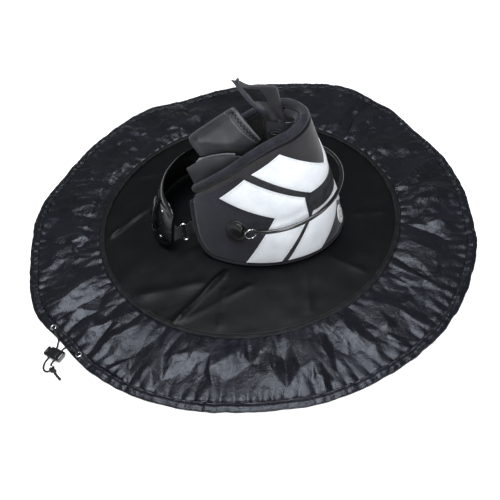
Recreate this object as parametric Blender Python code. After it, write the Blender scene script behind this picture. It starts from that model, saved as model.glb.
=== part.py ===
"""Round drawstring changing mat, opened flat, with the waist harness that it carries.

Frame: metres, +Z up, origin at the centre of the mat's underside. The harness stands in the
middle of the mat. Its back faces -Y, its open front faces +Y, and X = 0 is its mirror plane.
Places on the harness are given as (u, z): u is the distance along the waist from the middle of
the back, positive towards +X, and z is the height. A third number is the distance outwards
from the outer face of the shell.
"""

import math

import bmesh
import bpy
import numpy as np
from mathutils import Vector
from mathutils.geometry import delaunay_2d_cdt

GAP = 0.0005  # clearance between pieces that touch

# ---- mat ----
CLOTH = 0.002  # thickness of the tarpaulin base and of the seam band's layers
SEAM_INNER = 0.3285
SEAM_OUTER = 0.3415
SEAM_HEIGHT = 0.0035
HEM_WIDTH = 0.020
HEM_HEIGHT = 0.0062
CHANNEL_WIDTH = 0.013  # the drawcord's tunnel inside the hem
CHANNEL_HEIGHT = 0.0042
SKIRT_CREST = 0.007  # how far the skirt's soft folds stand up
MAT_STATIONS = 72
# The hem's own outline: (direction in degrees, outer radius).
HEM_OUTLINE = [
    (-165, 0.500), (-145, 0.508), (-120, 0.511), (-94, 0.503), (-78, 0.492),
    (-62, 0.490), (-45, 0.487), (-30, 0.507), (-14, 0.523), (8, 0.503), (36, 0.487),
    (48, 0.507), (67, 0.495), (82, 0.489), (98, 0.501), (115, 0.496), (134, 0.508),
    (146, 0.496), (158, 0.502), (175, 0.503),
]

# ---- drawcord and its lock ----
CORD_RADIUS = 0.0015
EYELET_ANGLES = (141.0, 152.0)  # directions of the two eyelets, in degrees
EYELET_OUTER = 0.0065
EYELET_INNER = 0.0034
EYELET_TUBE = 0.0011
LOCK_ORIGIN = Vector((-0.4405, 0.2770, 0.0075))
LOCK_OUT = Vector((-0.970, 0.242, 0.0)).normalized()  # the way the cords run out of the lock
LOCK_SIDE = Vector((0.242, 0.970, 0.0)).normalized()  # the way the button points
HOLE_SIDES = (0.006, -0.008)  # where the two cord holes lie, along LOCK_SIDE
BARREL_FROM = -0.0190
BARREL_TO = 0.0135
BARREL_DEPTH = 0.0120  # half the barrel's size along the cords
BARREL_HEIGHT = 0.0062  # half its thickness
BORE_DEPTH = 0.0075
BORE_HEIGHT = 0.0038
HOLE_RADIUS = 0.0021
BUTTON_FROM = 0.0170
BUTTON_TO = 0.0215
PLUNGER_TRAVEL = 0.0030
STEM_FROM = -0.0120
SPRING_FROM = -0.0172
SPRING_TURNS = 4
SPRING_RADIUS = 0.0026
# The knot and the tail beyond it, in the lock's own directions.
KNOT = (0.0290, -0.0185, -0.0010)
KNOT_RADII = (0.0062, 0.0078, 0.0055)
TAIL = [(0.0325, -0.0258, -0.0030), (0.0352, -0.0320, -0.0050), (0.0385, -0.0420, -0.0055)]

# ---- harness shell ----
HALF_WAIST = 0.152  # half the ellipse's size along X, at the foot
HALF_DEPTH = 0.198  # half the ellipse's size along Y, at the foot
WAIST_Y = -0.02  # where the ellipse's centre lies
LEAN = 0.067  # how far the shell leans in at the height LEAN_HEIGHT
LEAN_HEIGHT = 0.28
LEAN_POWER = 1.1
FLOOR = CLOTH + 0.0003  # the height that the harness stands at
SHELL = 0.0060  # thickness of the outer shell
LINING = 0.0090  # thickness of the padding inside it
RIM_HALF_THICKNESS = 0.0088
TOP_RIM_HALF_HEIGHT = 0.0090
FOOT_RIM_HALF_HEIGHT = 0.0050
RIM_INSET = 0.0112  # from the rims' middle line to the edge of the shell and lining
FOOT_INSET = 0.0066
RIM_DEPTH = -0.0078  # where the rims' middle lies, outwards from the shell's face
# The rims' middle line, right half, as (u, z), from the middle of the back over the top
# to the wing tip, and from the wing tip down to the foot.
TOP_LINE = [
    (0.0, 0.290), (0.060, 0.286), (0.107, 0.281), (0.172, 0.273), (0.237, 0.250),
    (0.314, 0.205), (0.362, 0.175), (0.400, 0.150),
]
FOOT_LINE = [
    (0.4045, 0.128), (0.397, 0.098), (0.385, 0.062), (0.368, 0.030), (0.343, 0.0115),
    (0.310, 0.0075), (0.180, 0.0073), (0.0, 0.0073),
]
CELL_U = 0.0180  # size of the flat facets that follow the waist
CELL_Z = 0.100
PANEL_FOOT = 0.0140  # the height where the panels end above the foot rim
PANEL_THICKNESS = 0.0016

# ---- rail, boots and ring ----
RAIL_RADIUS = 0.0037
RAIL_CIRCLE = 0.144
RAIL_CENTRE = Vector((0.0, -0.070, 0.1060))
RAIL_AXIS = Vector((0.0, 0.162, 0.987)).normalized()
RAIL_END = 106.5  # degrees from the middle of the back
MOUTH_AT = 104.0
BOOT_U = 0.276
BOOT_Z = 0.089
BOOT_RADIUS = 0.026
BOOT_MOUTH_RADIUS = 0.0062
BOOT_RIM = 0.0025
BOOT_BULGE = 0.0020
BOOT_BORE = 0.0080
RING_AT = 97.0
RING_MAJOR = 0.0122
RING_WIRE = 0.00125
RING_DROP = 0.0058
RING_TWIST = 52.0  # degrees between the ring's normal and the rail

# ---- belts inside ----
BELT = 0.0035
BELT_DEPTH = -0.0225
NEAR_FOLD = Vector((-0.020, 0.0, 0.1840))
FAR_FOLD = Vector((0.011, 0.0, 0.2700))

# ---- front pad ----
PAD_CENTRE_Y = 0.110
PAD_HALF_X = 0.150
PAD_HALF_Y = 0.113
PAD_SWEEP = 74.0
PAD_FOOT = 0.0040
PAD_TOP = 0.1060
PAD_LEAN = 0.040
PAD_THICKNESS = 0.011
BUCKLE = Vector((0.1202, 0.1105, 0.0500))  # middle of the right buckle; the left one mirrors it
BUCKLE_BAR_RADIUS = 0.0017
BUCKLE_HALF_HEIGHT = 0.024
WEB_THICKNESS = 0.0022
WEB_HALF_HEIGHT = 0.0190

LEFT = -1
RIGHT = 1


# ================= general helpers =================


def material(name, color, roughness, metallic=0.0):
    """Plain material with one colour."""
    made = bpy.data.materials.new(name)
    made.use_nodes = True
    shader = made.node_tree.nodes["Principled BSDF"]
    shader.inputs["Base Color"].default_value = (*color, 1.0)
    shader.inputs["Roughness"].default_value = roughness
    shader.inputs["Metallic"].default_value = metallic
    return made


def finish_mesh(name, bm, look):
    """Turn a bmesh into a smooth-shaded object with one material."""
    bmesh.ops.recalc_face_normals(bm, faces=bm.faces)
    mesh = bpy.data.meshes.new(name)
    bm.to_mesh(mesh)
    bm.free()
    mesh.shade_smooth()
    mesh.set_sharp_from_angle(angle=math.radians(40))
    mesh.materials.append(look)
    piece = bpy.data.objects.new(name, mesh)
    bpy.context.scene.collection.objects.link(piece)
    return piece


def smooth_line(points, count):
    """Points spread evenly along a Catmull-Rom curve through hand-chosen points."""
    given = [np.array(p, float) for p in points]
    given = [2 * given[0] - given[1], *given, 2 * given[-1] - given[-2]]
    dense = []
    for a, b, c, d in zip(given, given[1:], given[2:], given[3:]):
        for t in np.linspace(0, 1, 24, endpoint=False):
            dense.append(
                0.5 * (2 * b + (c - a) * t + (2 * a - 5 * b + 4 * c - d) * t**2
                       + (3 * b - a - 3 * c + d) * t**3)
            )
    dense.append(given[-2])
    dense = np.array(dense)
    steps = np.linalg.norm(np.diff(dense, axis=0), axis=1)
    along = np.concatenate([[0.0], np.cumsum(steps)])
    wanted = np.linspace(0, along[-1], count)
    return np.stack([np.interp(wanted, along, column) for column in dense.T], axis=1)


def sweep(name, sections, look, closed=False):
    """Solid through a row of equal-length loops, capped at both ends unless closed."""
    bm = bmesh.new()
    loops = [[bm.verts.new(p) for p in section] for section in sections]
    pairs = list(zip(loops, loops[1:]))
    if closed:
        pairs.append((loops[-1], loops[0]))
    size = len(loops[0])
    for first, second in pairs:
        for k in range(size):
            after = (k + 1) % size
            bm.faces.new((first[k], first[after], second[after], second[k]))
    if not closed:
        bm.faces.new(loops[0])
        bm.faces.new(loops[-1])
    bmesh.ops.triangulate(bm, faces=[f for f in bm.faces if len(f.verts) > 4])
    return finish_mesh(name, bm, look)


def slab(name, outer, inner, look):
    """Solid between two grids of points with the same rows and columns."""
    bm = bmesh.new()
    top = [[bm.verts.new(p) for p in row] for row in outer]
    low = [[bm.verts.new(p) for p in row] for row in inner]
    rows = len(top)
    columns = len(top[0])
    for i in range(rows - 1):
        for j in range(columns - 1):
            for grid in (top, low):
                bm.faces.new((grid[i][j], grid[i][j + 1], grid[i + 1][j + 1], grid[i + 1][j]))
    for i in range(rows - 1):
        for j in (0, columns - 1):
            bm.faces.new((top[i][j], top[i + 1][j], low[i + 1][j], low[i][j]))
    for j in range(columns - 1):
        for i in (0, rows - 1):
            bm.faces.new((top[i][j], top[i][j + 1], low[i][j + 1], low[i][j]))
    return finish_mesh(name, bm, look)


def sheet(name, surface, thickness, look):
    """Sheet of even thickness whose middle is a grid of points."""
    grid = np.array(surface, float)
    across = np.gradient(grid, axis=1)
    along = np.gradient(grid, axis=0)
    normal = np.cross(along, across)
    normal /= np.linalg.norm(normal, axis=2, keepdims=True)
    half = normal * thickness / 2
    return slab(name, (grid + half).tolist(), (grid - half).tolist(), look)


def tube(name, points, radius, look, cyclic=False, detail=2):
    """Round bar or cord along a row of points."""
    curve = bpy.data.curves.new(name, "CURVE")
    curve.dimensions = "3D"
    curve.bevel_depth = radius
    curve.bevel_resolution = detail
    curve.use_fill_caps = not cyclic
    line = curve.splines.new("POLY")
    line.points.add(len(points) - 1)
    for place, point in zip(line.points, points):
        place.co = (*point, 1.0)
    line.use_cyclic_u = cyclic
    curve.materials.append(look)
    piece = bpy.data.objects.new(name, curve)
    bpy.context.scene.collection.objects.link(piece)
    return piece


def rod(name, start, end, radius, look, sides=16):
    """Straight round bar as a mesh, for drilling holes."""
    ahead = (end - start).normalized()
    across = ahead.orthogonal().normalized()
    other = ahead.cross(across)
    sections = []
    for place in (start, end):
        sections.append([
            place + (across * math.cos(s) + other * math.sin(s)) * radius
            for s in (2 * math.pi * k / sides for k in range(sides))
        ])
    return sweep(name, sections, look)


def box_mesh(name, centre, axes, halves, look, bevel=0.0):
    """Block along three axes, with rounded edges when bevel is given."""
    bm = bmesh.new()
    made = bmesh.ops.create_cube(bm, size=2.0)
    for corner in made["verts"]:
        local = corner.co.copy()
        offset = Vector((0.0, 0.0, 0.0))
        for axis, half, amount in zip(axes, halves, local):
            offset += axis * (half * amount)
        corner.co = centre + offset
    if bevel:
        bmesh.ops.bevel(
            bm, geom=bm.edges[:], offset=bevel, segments=2, profile=0.6, affect="EDGES"
        )
    return finish_mesh(name, bm, look)


def cut(piece, cutter):
    """Take a cutter's shape out of a piece."""
    cutter.hide_render = True
    cutter.display_type = "WIRE"
    modifier = piece.modifiers.new("cut_" + cutter.name, "BOOLEAN")
    modifier.operation = "DIFFERENCE"
    modifier.solver = "EXACT"
    modifier.object = cutter


def ride_on(empty_name, place, pieces):
    """Empty on a joint's axis, with the pieces that move about it."""
    empty = bpy.data.objects.new(empty_name, None)
    empty.empty_display_size = 0.03
    empty.location = place
    bpy.context.scene.collection.objects.link(empty)
    bpy.context.view_layer.update()
    for piece in pieces:
        piece.parent = empty
        piece.matrix_parent_inverse = empty.matrix_world.inverted()


# ================= mat =================


def hem_radius(angle):
    """Outer radius of the hem in a direction in degrees, on a smooth periodic curve."""
    angles = [a for a, _ in HEM_OUTLINE]
    radii = [r for _, r in HEM_OUTLINE]
    angles = [a - 360 for a in angles] + angles + [a + 360 for a in angles]
    radii = radii * 3
    spot = next(i for i in range(len(angles) - 1) if angles[i] <= angle < angles[i + 1])
    t = (angle - angles[spot]) / (angles[spot + 1] - angles[spot])
    ease = t * t * (3 - 2 * t)
    return radii[spot] + (radii[spot + 1] - radii[spot]) * ease


def around(angle, radius, height):
    """Point at a direction in degrees, a radius and a height."""
    turn = math.radians(angle)
    return (radius * math.cos(turn), radius * math.sin(turn), height)


def mat_ring(name, section, look):
    """Ring round the mat; section(angle) gives its outline as (radius, height) pairs."""
    turns = [360 * k / MAT_STATIONS - 180 for k in range(MAT_STATIONS)]
    loops = [[around(a, r, h) for r, h in section(a)] for a in turns]
    return sweep(name, loops, look, closed=True)


def base_section(radius):
    """The flat disc of tarpaulin, as one loop low and one loop high."""
    turns = [360 * k / MAT_STATIONS - 180 for k in range(MAT_STATIONS)]
    return [[around(a, radius, h) for a in turns] for h in (0.0, CLOTH)]


def seam_section(angle):
    inner = SEAM_INNER
    outer = SEAM_OUTER
    return [(inner, 0.0), (outer, 0.0), (outer - 0.001, SEAM_HEIGHT), (inner + 0.001, SEAM_HEIGHT)]


def skirt_crest(angle, share):
    """Height of the skirt's folds; share runs from 0 at the seam to 1 at the hem."""
    folds = 0.5 + 0.28 * math.sin(math.radians(angle * 9)) + 0.22 * math.sin(
        math.radians(angle * 14 + 40))
    return SKIRT_CREST * math.sin(math.pi * share) * folds


def skirt_section(angle):
    inner = SEAM_OUTER + GAP
    outer = hem_radius(angle) - HEM_WIDTH - GAP
    shares = [k / 3 for k in range(4)]
    radii = [inner + (outer - inner) * s for s in shares]
    upper = [(r, CLOTH + skirt_crest(angle, s)) for r, s in zip(radii, shares)]
    return [(r, 0.0) for r in radii] + upper[::-1]


def hem_section(angle):
    """Outline of the hem: flat below, rounded above."""
    middle = hem_radius(angle) - HEM_WIDTH / 2
    half = HEM_WIDTH / 2
    low = 0.0
    high = HEM_HEIGHT
    corner = HEM_HEIGHT * 0.3
    return [(middle - half, low), (middle + half, low), (middle + half, high - corner),
            (middle + half - 2 * corner, high), (middle - half + 2 * corner, high),
            (middle - half, high - corner)]


def tunnel_section(angle):
    middle = hem_radius(angle) - HEM_WIDTH / 2
    half = CHANNEL_WIDTH / 2
    low = (HEM_HEIGHT - CHANNEL_HEIGHT) / 2
    high = HEM_HEIGHT - low
    near, far = middle - half, middle + half
    return [(near, low), (far, low), (far, high), (near, high)]


def eyelet_place(angle):
    """Where an eyelet sits on the hem."""
    return Vector(around(angle, hem_radius(angle) - HEM_WIDTH / 2, HEM_HEIGHT))


def build_mat(looks):
    sweep("base_disc", base_section(SEAM_INNER - GAP), looks["tarpaulin"])
    mat_ring("seam_tape", seam_section, looks["seam"])
    mat_ring("skirt", skirt_section, looks["nylon"])
    hem = mat_ring("hem_casing", hem_section, looks["nylon"])
    tunnel = mat_ring("hem_tunnel_cutter", tunnel_section, looks["cord"])
    cut(hem, tunnel)
    for number, angle in enumerate(EYELET_ANGLES):
        place = eyelet_place(angle)
        drill = rod(
            "eyelet_cutter_%d" % number, place - Vector((0, 0, 0.0035)),
            place + Vector((0, 0, 0.004)), EYELET_INNER - 0.0002, looks["cord"],
        )
        cut(hem, drill)
    for name, angle in zip(("eyelet_a", "eyelet_b"), EYELET_ANGLES):
        major = (EYELET_OUTER + EYELET_INNER) / 2
        centre = eyelet_place(angle) + Vector((0, 0, EYELET_TUBE + 0.0003))
        sections = []
        for k in range(16):
            turn = 2 * math.pi * k / 16
            out = Vector((math.cos(turn), math.sin(turn), 0))
            half = (EYELET_OUTER - EYELET_INNER) / 2
            sections.append([
                centre + out * (major + half * math.cos(s))
                + Vector((0, 0, EYELET_TUBE * math.sin(s)))
                for s in (2 * math.pi * j / 6 for j in range(6))
            ])
        sweep(name, sections, looks["steel"], closed=True)


# ================= drawcord and lock =================


def lock_point(out, side, up=0.0):
    """Point in the cord lock's own directions."""
    return LOCK_ORIGIN + LOCK_OUT * out + LOCK_SIDE * side + Vector((0, 0, up))


def held_cord_points():
    """The drawcord inside the hem, the long way round between the two eyelets."""
    start, end = EYELET_ANGLES[1] + 0.6, EYELET_ANGLES[0] + 360 - 0.6
    points = []
    for k in range(58):
        angle = start + (end - start) * k / 57
        radius = hem_radius((angle + 180) % 360 - 180) - HEM_WIDTH / 2
        points.append(around(angle, radius, HEM_HEIGHT / 2))
    return points


def cord_start(angle):
    """Where a cord comes up out of an eyelet: two points, the lower one first."""
    place = eyelet_place(angle)
    return [place + Vector((0, 0, -0.0005)), place + Vector((0, 0, 0.0050))]


def free_cord_a():
    """From the first eyelet through the lock, round the loop and into the knot."""
    first, second = cord_start(EYELET_ANGLES[0])
    side = HOLE_SIDES[0]
    rest = [
        (-0.030, 0.014, 0.0035), (-0.021, 0.0085, 0.0025), (-0.0135, side, 0.0), (0.0, side, 0.0),
        (0.0135, side, 0.0), (0.0215, side + 0.0004, -0.0005), (0.0275, 0.0090, -0.0030),
        (0.0325, 0.0090, -0.0052), (0.0355, 0.0030, -0.0055), (0.0350, -0.0045, -0.0050),
        (0.0325, -0.0105, -0.0035),
    ]
    return [first, second, *[lock_point(*p) for p in rest]]


def free_cord_b():
    """From the second eyelet through the lock and straight into the knot."""
    first, second = cord_start(EYELET_ANGLES[1])
    side = HOLE_SIDES[1]
    rest = [
        (-0.020, -0.0145, 0.0040), (-0.0135, side, 0.0005), (0.0, side, 0.0), (0.0135, side, 0.0),
        (0.0215, side - 0.0003, 0.0), (0.0245, -0.0115, -0.0008),
    ]
    return [first, second, *[lock_point(*p) for p in rest]]


def knot_sections():
    """Lumpy knot: turned outline with three rounded lobes."""
    sections = []
    for i in range(9):
        t = math.pi * (0.06 + 0.88 * i / 8)
        loop = []
        for j in range(14):
            s = 2 * math.pi * j / 14
            lobe = 1 + 0.10 * math.cos(3 * s + 2.2 * t)
            loop.append(lock_point(
                KNOT[0] + KNOT_RADII[0] * math.sin(t) * math.cos(s) * lobe,
                KNOT[1] + KNOT_RADII[1] * math.cos(t),
                KNOT[2] + KNOT_RADII[2] * math.sin(t) * math.sin(s) * lobe,
            ))
        sections.append(loop)
    return sections


def outside_knot(points):
    """The part of a cord's route that lies outside the knot, with the usual gap."""
    kept = []
    for p in points:
        local = Vector(p) - lock_point(*KNOT)
        scaled = (
            local.dot(LOCK_OUT) / (KNOT_RADII[0] * 1.1 + CORD_RADIUS + GAP),
            local.dot(LOCK_SIDE) / (KNOT_RADII[1] + CORD_RADIUS + GAP),
            local.z / (KNOT_RADII[2] * 1.1 + CORD_RADIUS + GAP),
        )
        if sum(c * c for c in scaled) > 1.0:
            kept.append(p)
    return kept


def build_drawcord(looks):
    tube("drawcord_in_hem", held_cord_points(), CORD_RADIUS, looks["cord"])
    tube("drawcord_loop", outside_knot(smooth_line(free_cord_a(), 34)), CORD_RADIUS, looks["cord"])
    tube("drawcord_short", outside_knot(smooth_line(free_cord_b(), 24)), CORD_RADIUS, looks["cord"])
    sweep("cord_knot", knot_sections(), looks["cord"])
    tail = outside_knot(smooth_line([lock_point(*p) for p in TAIL], 10))
    tube("cord_tail", tail, CORD_RADIUS * 1.3, looks["cord"])


def barrel_loop(side, depth, height):
    """Rounded outline across the lock at a place along the button's direction."""
    loop = []
    for k in range(16):
        turn = 2 * math.pi * k / 16
        c, s = math.cos(turn), math.sin(turn)
        out = depth * math.copysign(abs(c) ** 0.55, c)
        up = height * math.copysign(abs(s) ** 0.55, s)
        loop.append(lock_point(out, side, up))
    return loop


def build_lock(looks):
    stations = [(BARREL_FROM, 0.82), (BARREL_FROM + 0.0016, 0.95), (-0.0030, 1.0),
                (BARREL_TO - 0.0016, 0.95), (BARREL_TO, 0.86)]
    barrel = sweep(
        "lock_barrel",
        [barrel_loop(s, BARREL_DEPTH * k, BARREL_HEIGHT * k) for s, k in stations],
        looks["gloss_black"],
    )
    bore = sweep(
        "lock_bore_cutter",
        [barrel_loop(s, BORE_DEPTH, BORE_HEIGHT) for s in (SPRING_FROM - 0.0003, BARREL_TO + 0.01)],
        looks["gloss_black"],
    )
    cut(barrel, bore)
    for number, side in enumerate(HOLE_SIDES):
        hole = rod(
            "lock_hole_cutter_%d" % number, lock_point(-0.02, side), lock_point(0.02, side),
            HOLE_RADIUS, looks["gloss_black"],
        )
        cut(barrel, hole)
    stem = [
        (STEM_FROM, BORE_DEPTH - 0.0005, BORE_HEIGHT - 0.0005),
        (BUTTON_FROM, BORE_DEPTH - 0.0005, BORE_HEIGHT - 0.0005),
        (BUTTON_FROM + 0.0004, BARREL_DEPTH * 0.84, BARREL_HEIGHT * 0.84),
        (BUTTON_TO - 0.0012, BARREL_DEPTH * 0.84, BARREL_HEIGHT * 0.84),
        (BUTTON_TO, BARREL_DEPTH * 0.70, BARREL_HEIGHT * 0.66),
    ]
    loops = [barrel_loop(s, d, h) for s, d, h in stem]
    plunger = sweep("lock_plunger", loops, looks["gloss_black"])
    for number, side in enumerate(HOLE_SIDES):
        window = box_mesh(
            "plunger_window_cutter_%d" % number,
            lock_point(0.0, side + PLUNGER_TRAVEL / 2), (LOCK_OUT, LOCK_SIDE, Vector((0, 0, 1))),
            (0.02, HOLE_RADIUS + PLUNGER_TRAVEL / 2, HOLE_RADIUS), looks["gloss_black"],
        )
        cut(plunger, window)
    turns = 8 * SPRING_TURNS
    coil = []
    for k in range(turns + 1):
        share = k / turns
        turn = 2 * math.pi * SPRING_TURNS * share
        side = SPRING_FROM + 0.0004 + (STEM_FROM - SPRING_FROM - 0.0012) * share
        out, up = SPRING_RADIUS * math.cos(turn), SPRING_RADIUS * math.sin(turn)
        coil.append(lock_point(out, side, up))
    tube("lock_spring", coil, 0.0003, looks["steel"], detail=1)
    ride_on("cord_lock_slide_axis", lock_point(0, 0), [barrel])
    ride_on("plunger_axis", lock_point(0, BUTTON_TO), [plunger])


# ================= harness surface =================


def arc_table():
    """Angles round the waist ellipse and the distance walked to each."""
    turns = np.linspace(0, math.radians(170), 1500)
    x = HALF_WAIST * np.sin(turns)
    y = -HALF_DEPTH * np.cos(turns)
    walked = np.concatenate([[0.0], np.cumsum(np.hypot(np.diff(x), np.diff(y)))])
    return turns, walked


ARC_TURNS, ARC_WALKED = arc_table()


def lean_at(z):
    return LEAN * (max(z, 0.0) / LEAN_HEIGHT) ** LEAN_POWER


def outward(u):
    """The level direction straight out of the shell at u."""
    turn = float(np.interp(abs(u), ARC_WALKED, ARC_TURNS)) * (1 if u >= 0 else -1)
    return Vector((HALF_DEPTH * math.sin(turn), -HALF_WAIST * math.cos(turn), 0.0)).normalized()


def on_shell(u, z, off=0.0):
    """Point on the harness at (u, z), off metres outwards from the shell's face."""
    turn = float(np.interp(abs(u), ARC_WALKED, ARC_TURNS)) * (1 if u >= 0 else -1)
    foot = Vector((HALF_WAIST * math.sin(turn), WAIST_Y - HALF_DEPTH * math.cos(turn), z))
    return foot + outward(u) * (off - lean_at(z))


def inside(outline, u, z):
    """Whether (u, z) lies within an outline, and well clear of it."""
    crossings = 0
    for (u0, z0), (u1, z1) in zip(outline, outline[1:] + outline[:1]):
        if (z0 > z) != (z1 > z) and u < u0 + (z - z0) / (z1 - z0) * (u1 - u0):
            crossings += 1
        span = Vector(((u1 - u0) / CELL_U, (z1 - z0) / CELL_Z))
        away = Vector(((u - u0) / CELL_U, (z - z0) / CELL_Z))
        share = min(1.0, max(0.0, away.dot(span) / max(span.length_squared, 1e-12)))
        if (away - span * share).length < 0.4:
            return False
    return crossings % 2 == 1


def divided(outline):
    """An outline with points added so that no step is longer than a cell."""
    points = []
    for (u0, z0), (u1, z1) in zip(outline, outline[1:] + outline[:1]):
        steps = max(1, math.ceil(max(abs(u1 - u0) / CELL_U, abs(z1 - z0) / CELL_Z)))
        points += [(u0 + (u1 - u0) * k / steps, z0 + (z1 - z0) * k / steps) for k in range(steps)]
    return points


def facets(name, outline, low, high, look):
    """Piece that follows the shell: an outline in (u, z), between two distances from it."""
    flat = divided([tuple(p) for p in outline])
    border_size = len(flat)
    for i in range(-24, 25):
        for j in range(0, 4):
            u, z = i * CELL_U, j * CELL_Z
            if inside(flat[:border_size], u, z):
                flat.append((u, z))
    stretch = CELL_U / CELL_Z
    found = delaunay_2d_cdt(
        [Vector((u, z * stretch)) for u, z in flat],
        [(k, (k + 1) % border_size) for k in range(border_size)],
        [list(range(border_size))], 1, 1e-7,
    )
    places = [(p.x, p.y / stretch) for p in found[0]]
    triangles = found[2]
    sides = {}
    for triangle in triangles:
        for a, b in zip(triangle, [*triangle[1:], triangle[0]]):
            sides.setdefault((min(a, b), max(a, b)), []).append((a, b))
    solid = bmesh.new()
    upper = [solid.verts.new(on_shell(u, z, high)) for u, z in places]
    lower = [solid.verts.new(on_shell(u, z, low)) for u, z in places]
    for triangle in triangles:
        solid.faces.new([upper[k] for k in triangle])
        solid.faces.new([lower[k] for k in reversed(triangle)])
    for uses in sides.values():
        if len(uses) == 1:
            a, b = uses[0]
            solid.faces.new((upper[b], upper[a], lower[a], lower[b]))
    return finish_mesh(name, solid, look)


def mirrored(outline, side):
    """An outline for the right side, or its mirror for the left."""
    return [(u * side, z) for u, z in outline]


def rim_outline(inset_top, inset_foot):
    """The closed outline of the harness inside the rims, as (u, z) points."""
    top = smooth_line(TOP_LINE, 30)
    foot = smooth_line(FOOT_LINE, 30)
    half = np.concatenate([top, foot])
    ahead = np.gradient(half, axis=0)
    ahead /= np.linalg.norm(ahead, axis=1, keepdims=True)
    inwards = np.stack([ahead[:, 1], -ahead[:, 0]], axis=1)
    height = np.clip((half[:, 1] - 0.05) / 0.06, 0, 1)[:, None]
    half = half + inwards * (inset_foot + (inset_top - inset_foot) * height)
    half = half[(half[:, 0] > 0.004)]
    left = half[::-1] * np.array([-1.0, 1.0])
    middle_top = [(0.0, TOP_LINE[0][1] - inset_top)]
    middle_foot = [(0.0, FOOT_LINE[-1][1] + inset_foot)]
    return middle_top + half.tolist() + middle_foot + left.tolist()


def rim(name, line, half_height, look):
    """Rolled edge along a line in (u, z): an oval bar that follows the shell."""
    points = [on_shell(u, z, RIM_DEPTH) for u, z in line]
    sections = []
    for k, (u, z) in enumerate(line):
        before = points[max(k - 1, 0)]
        after = points[min(k + 1, len(points) - 1)]
        ahead = (after - before).normalized()
        out = outward(u)
        out = (out - ahead * out.dot(ahead)).normalized()
        up = ahead.cross(out)
        sections.append([
            points[k] + out * (RIM_HALF_THICKNESS * math.cos(s)) + up * (half_height * math.sin(s))
            for s in (2 * math.pi * j / 8 for j in range(8))
        ])
    return sweep(name, sections, look)


def both_halves(line, count):
    """A line for the right half joined to its mirror, evenly spread."""
    right = smooth_line(line, count)
    left = right[::-1] * np.array([-1.0, 1.0])
    return left, right


def at_height(low_point, high_point, z):
    """Point at a height on the straight line between two (u, z) points."""
    share = (z - low_point[1]) / (high_point[1] - low_point[1])
    return (low_point[0] + (high_point[0] - low_point[0]) * share, z)


def build_shell(looks):
    pieces = [
        facets("outer_shell", rim_outline(RIM_INSET, FOOT_INSET), -SHELL, 0.0, looks["neoprene"]),
        facets(
            "lumbar_lining", rim_outline(RIM_INSET, FOOT_INSET), -SHELL - GAP - LINING, -SHELL - GAP,
            looks["lining"],
        ),
    ]
    left, right = both_halves(TOP_LINE, 22)
    top = left.tolist() + right.tolist()[1:]
    pieces.append(rim("top_rim", top, TOP_RIM_HALF_HEIGHT, looks["binding"]))
    right = smooth_line(FOOT_LINE, 28)[::-1]
    right = right[right[:, 1] < 0.1275]
    left = right[::-1] * np.array([-1.0, 1.0])
    foot = left.tolist() + right.tolist()[1:]
    pieces.append(rim("foot_rim", foot, FOOT_RIM_HALF_HEIGHT, looks["binding"]))
    return pieces


def build_panels(looks):
    low, high = GAP, GAP + PANEL_THICKNESS
    foot = PANEL_FOOT
    white = looks["white"]
    tape = looks["tape"]
    pieces = []
    arm = [(0.158, 0.254), (0.234, 0.219), (0.091, 0.153)]
    upper = [(0.0, 0.181), *arm, *mirrored(arm[::-1], LEFT)]
    pieces.append(facets("panel_upper", upper, low, high, white))
    inner_foot = at_height((0.111, 0.0), (0.0, 0.078), foot)
    outer_foot = at_height((0.180, 0.0), (0.093, 0.110), foot)
    lower = [(-0.093, 0.110), mirrored([outer_foot], LEFT)[0], mirrored([inner_foot], LEFT)[0],
             (0.0, 0.078), inner_foot, outer_foot, (0.093, 0.110)]
    pieces.append(facets("panel_lower", lower, low, high, white))
    chevron = [
        (0.109, 0.148), (0.252, 0.208), (0.316, 0.160), (0.188, 0.120),
        at_height((0.268, 0.0), (0.188, 0.120), foot), at_height((0.194, 0.0), (0.117, 0.093), foot),
        (0.117, 0.093), (0.107, 0.104),
    ]
    high_tape = [(0.2517, 0.2088), (0.2343, 0.2182), (0.0915, 0.1522), (0.1087, 0.1488)]
    low_tape = [(0.1163, 0.0924), (0.0938, 0.1096), (0.1695, 0.0140), (0.1819, 0.0140)]
    for side, word in ((LEFT, "left"), (RIGHT, "right")):
        pieces.append(facets("panel_" + word, mirrored(chevron, side), low, high, white))
        pieces.append(facets("tape_upper_" + word, mirrored(high_tape, side), low, high, tape))
        pieces.append(facets("tape_lower_" + word, mirrored(low_tape, side), low, high, tape))
    end = [(0.0900, 0.1520), (0.1045, 0.1315), (0.0900, 0.1110)]
    band = [*end, *mirrored(end[::-1], LEFT)]
    pieces.append(facets("centre_band", band, low, high + 0.0004, tape))
    oval = [
        (0.017 * math.cos(2 * math.pi * k / 24), 0.040 + 0.022 * math.sin(2 * math.pi * k / 24))
        for k in range(24)
    ]
    pieces.append(facets("badge", oval, low, high, white))
    return pieces


# ================= rail, boots and ring =================


def rail_frame(angle):
    """Place on the rail at degrees from the middle of the back, its tangent and its outside."""
    turn = math.radians(angle)
    back = RAIL_AXIS.cross(Vector((1.0, 0.0, 0.0))).normalized()
    back = -back if back.y > 0 else back
    outside = Vector((1.0, 0.0, 0.0)) * math.sin(turn) + back * math.cos(turn)
    tangent = Vector((1.0, 0.0, 0.0)) * math.cos(turn) - back * math.sin(turn)
    return RAIL_CENTRE + outside * RAIL_CIRCLE, tangent, outside


def boot_loop(point_at):
    """One loop of 16 points round a boot, from point_at(forwards, upwards)."""
    turns = [2 * math.pi * k / 16 for k in range(16)]
    return [point_at(math.cos(s), math.sin(s)) for s in turns]


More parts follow.
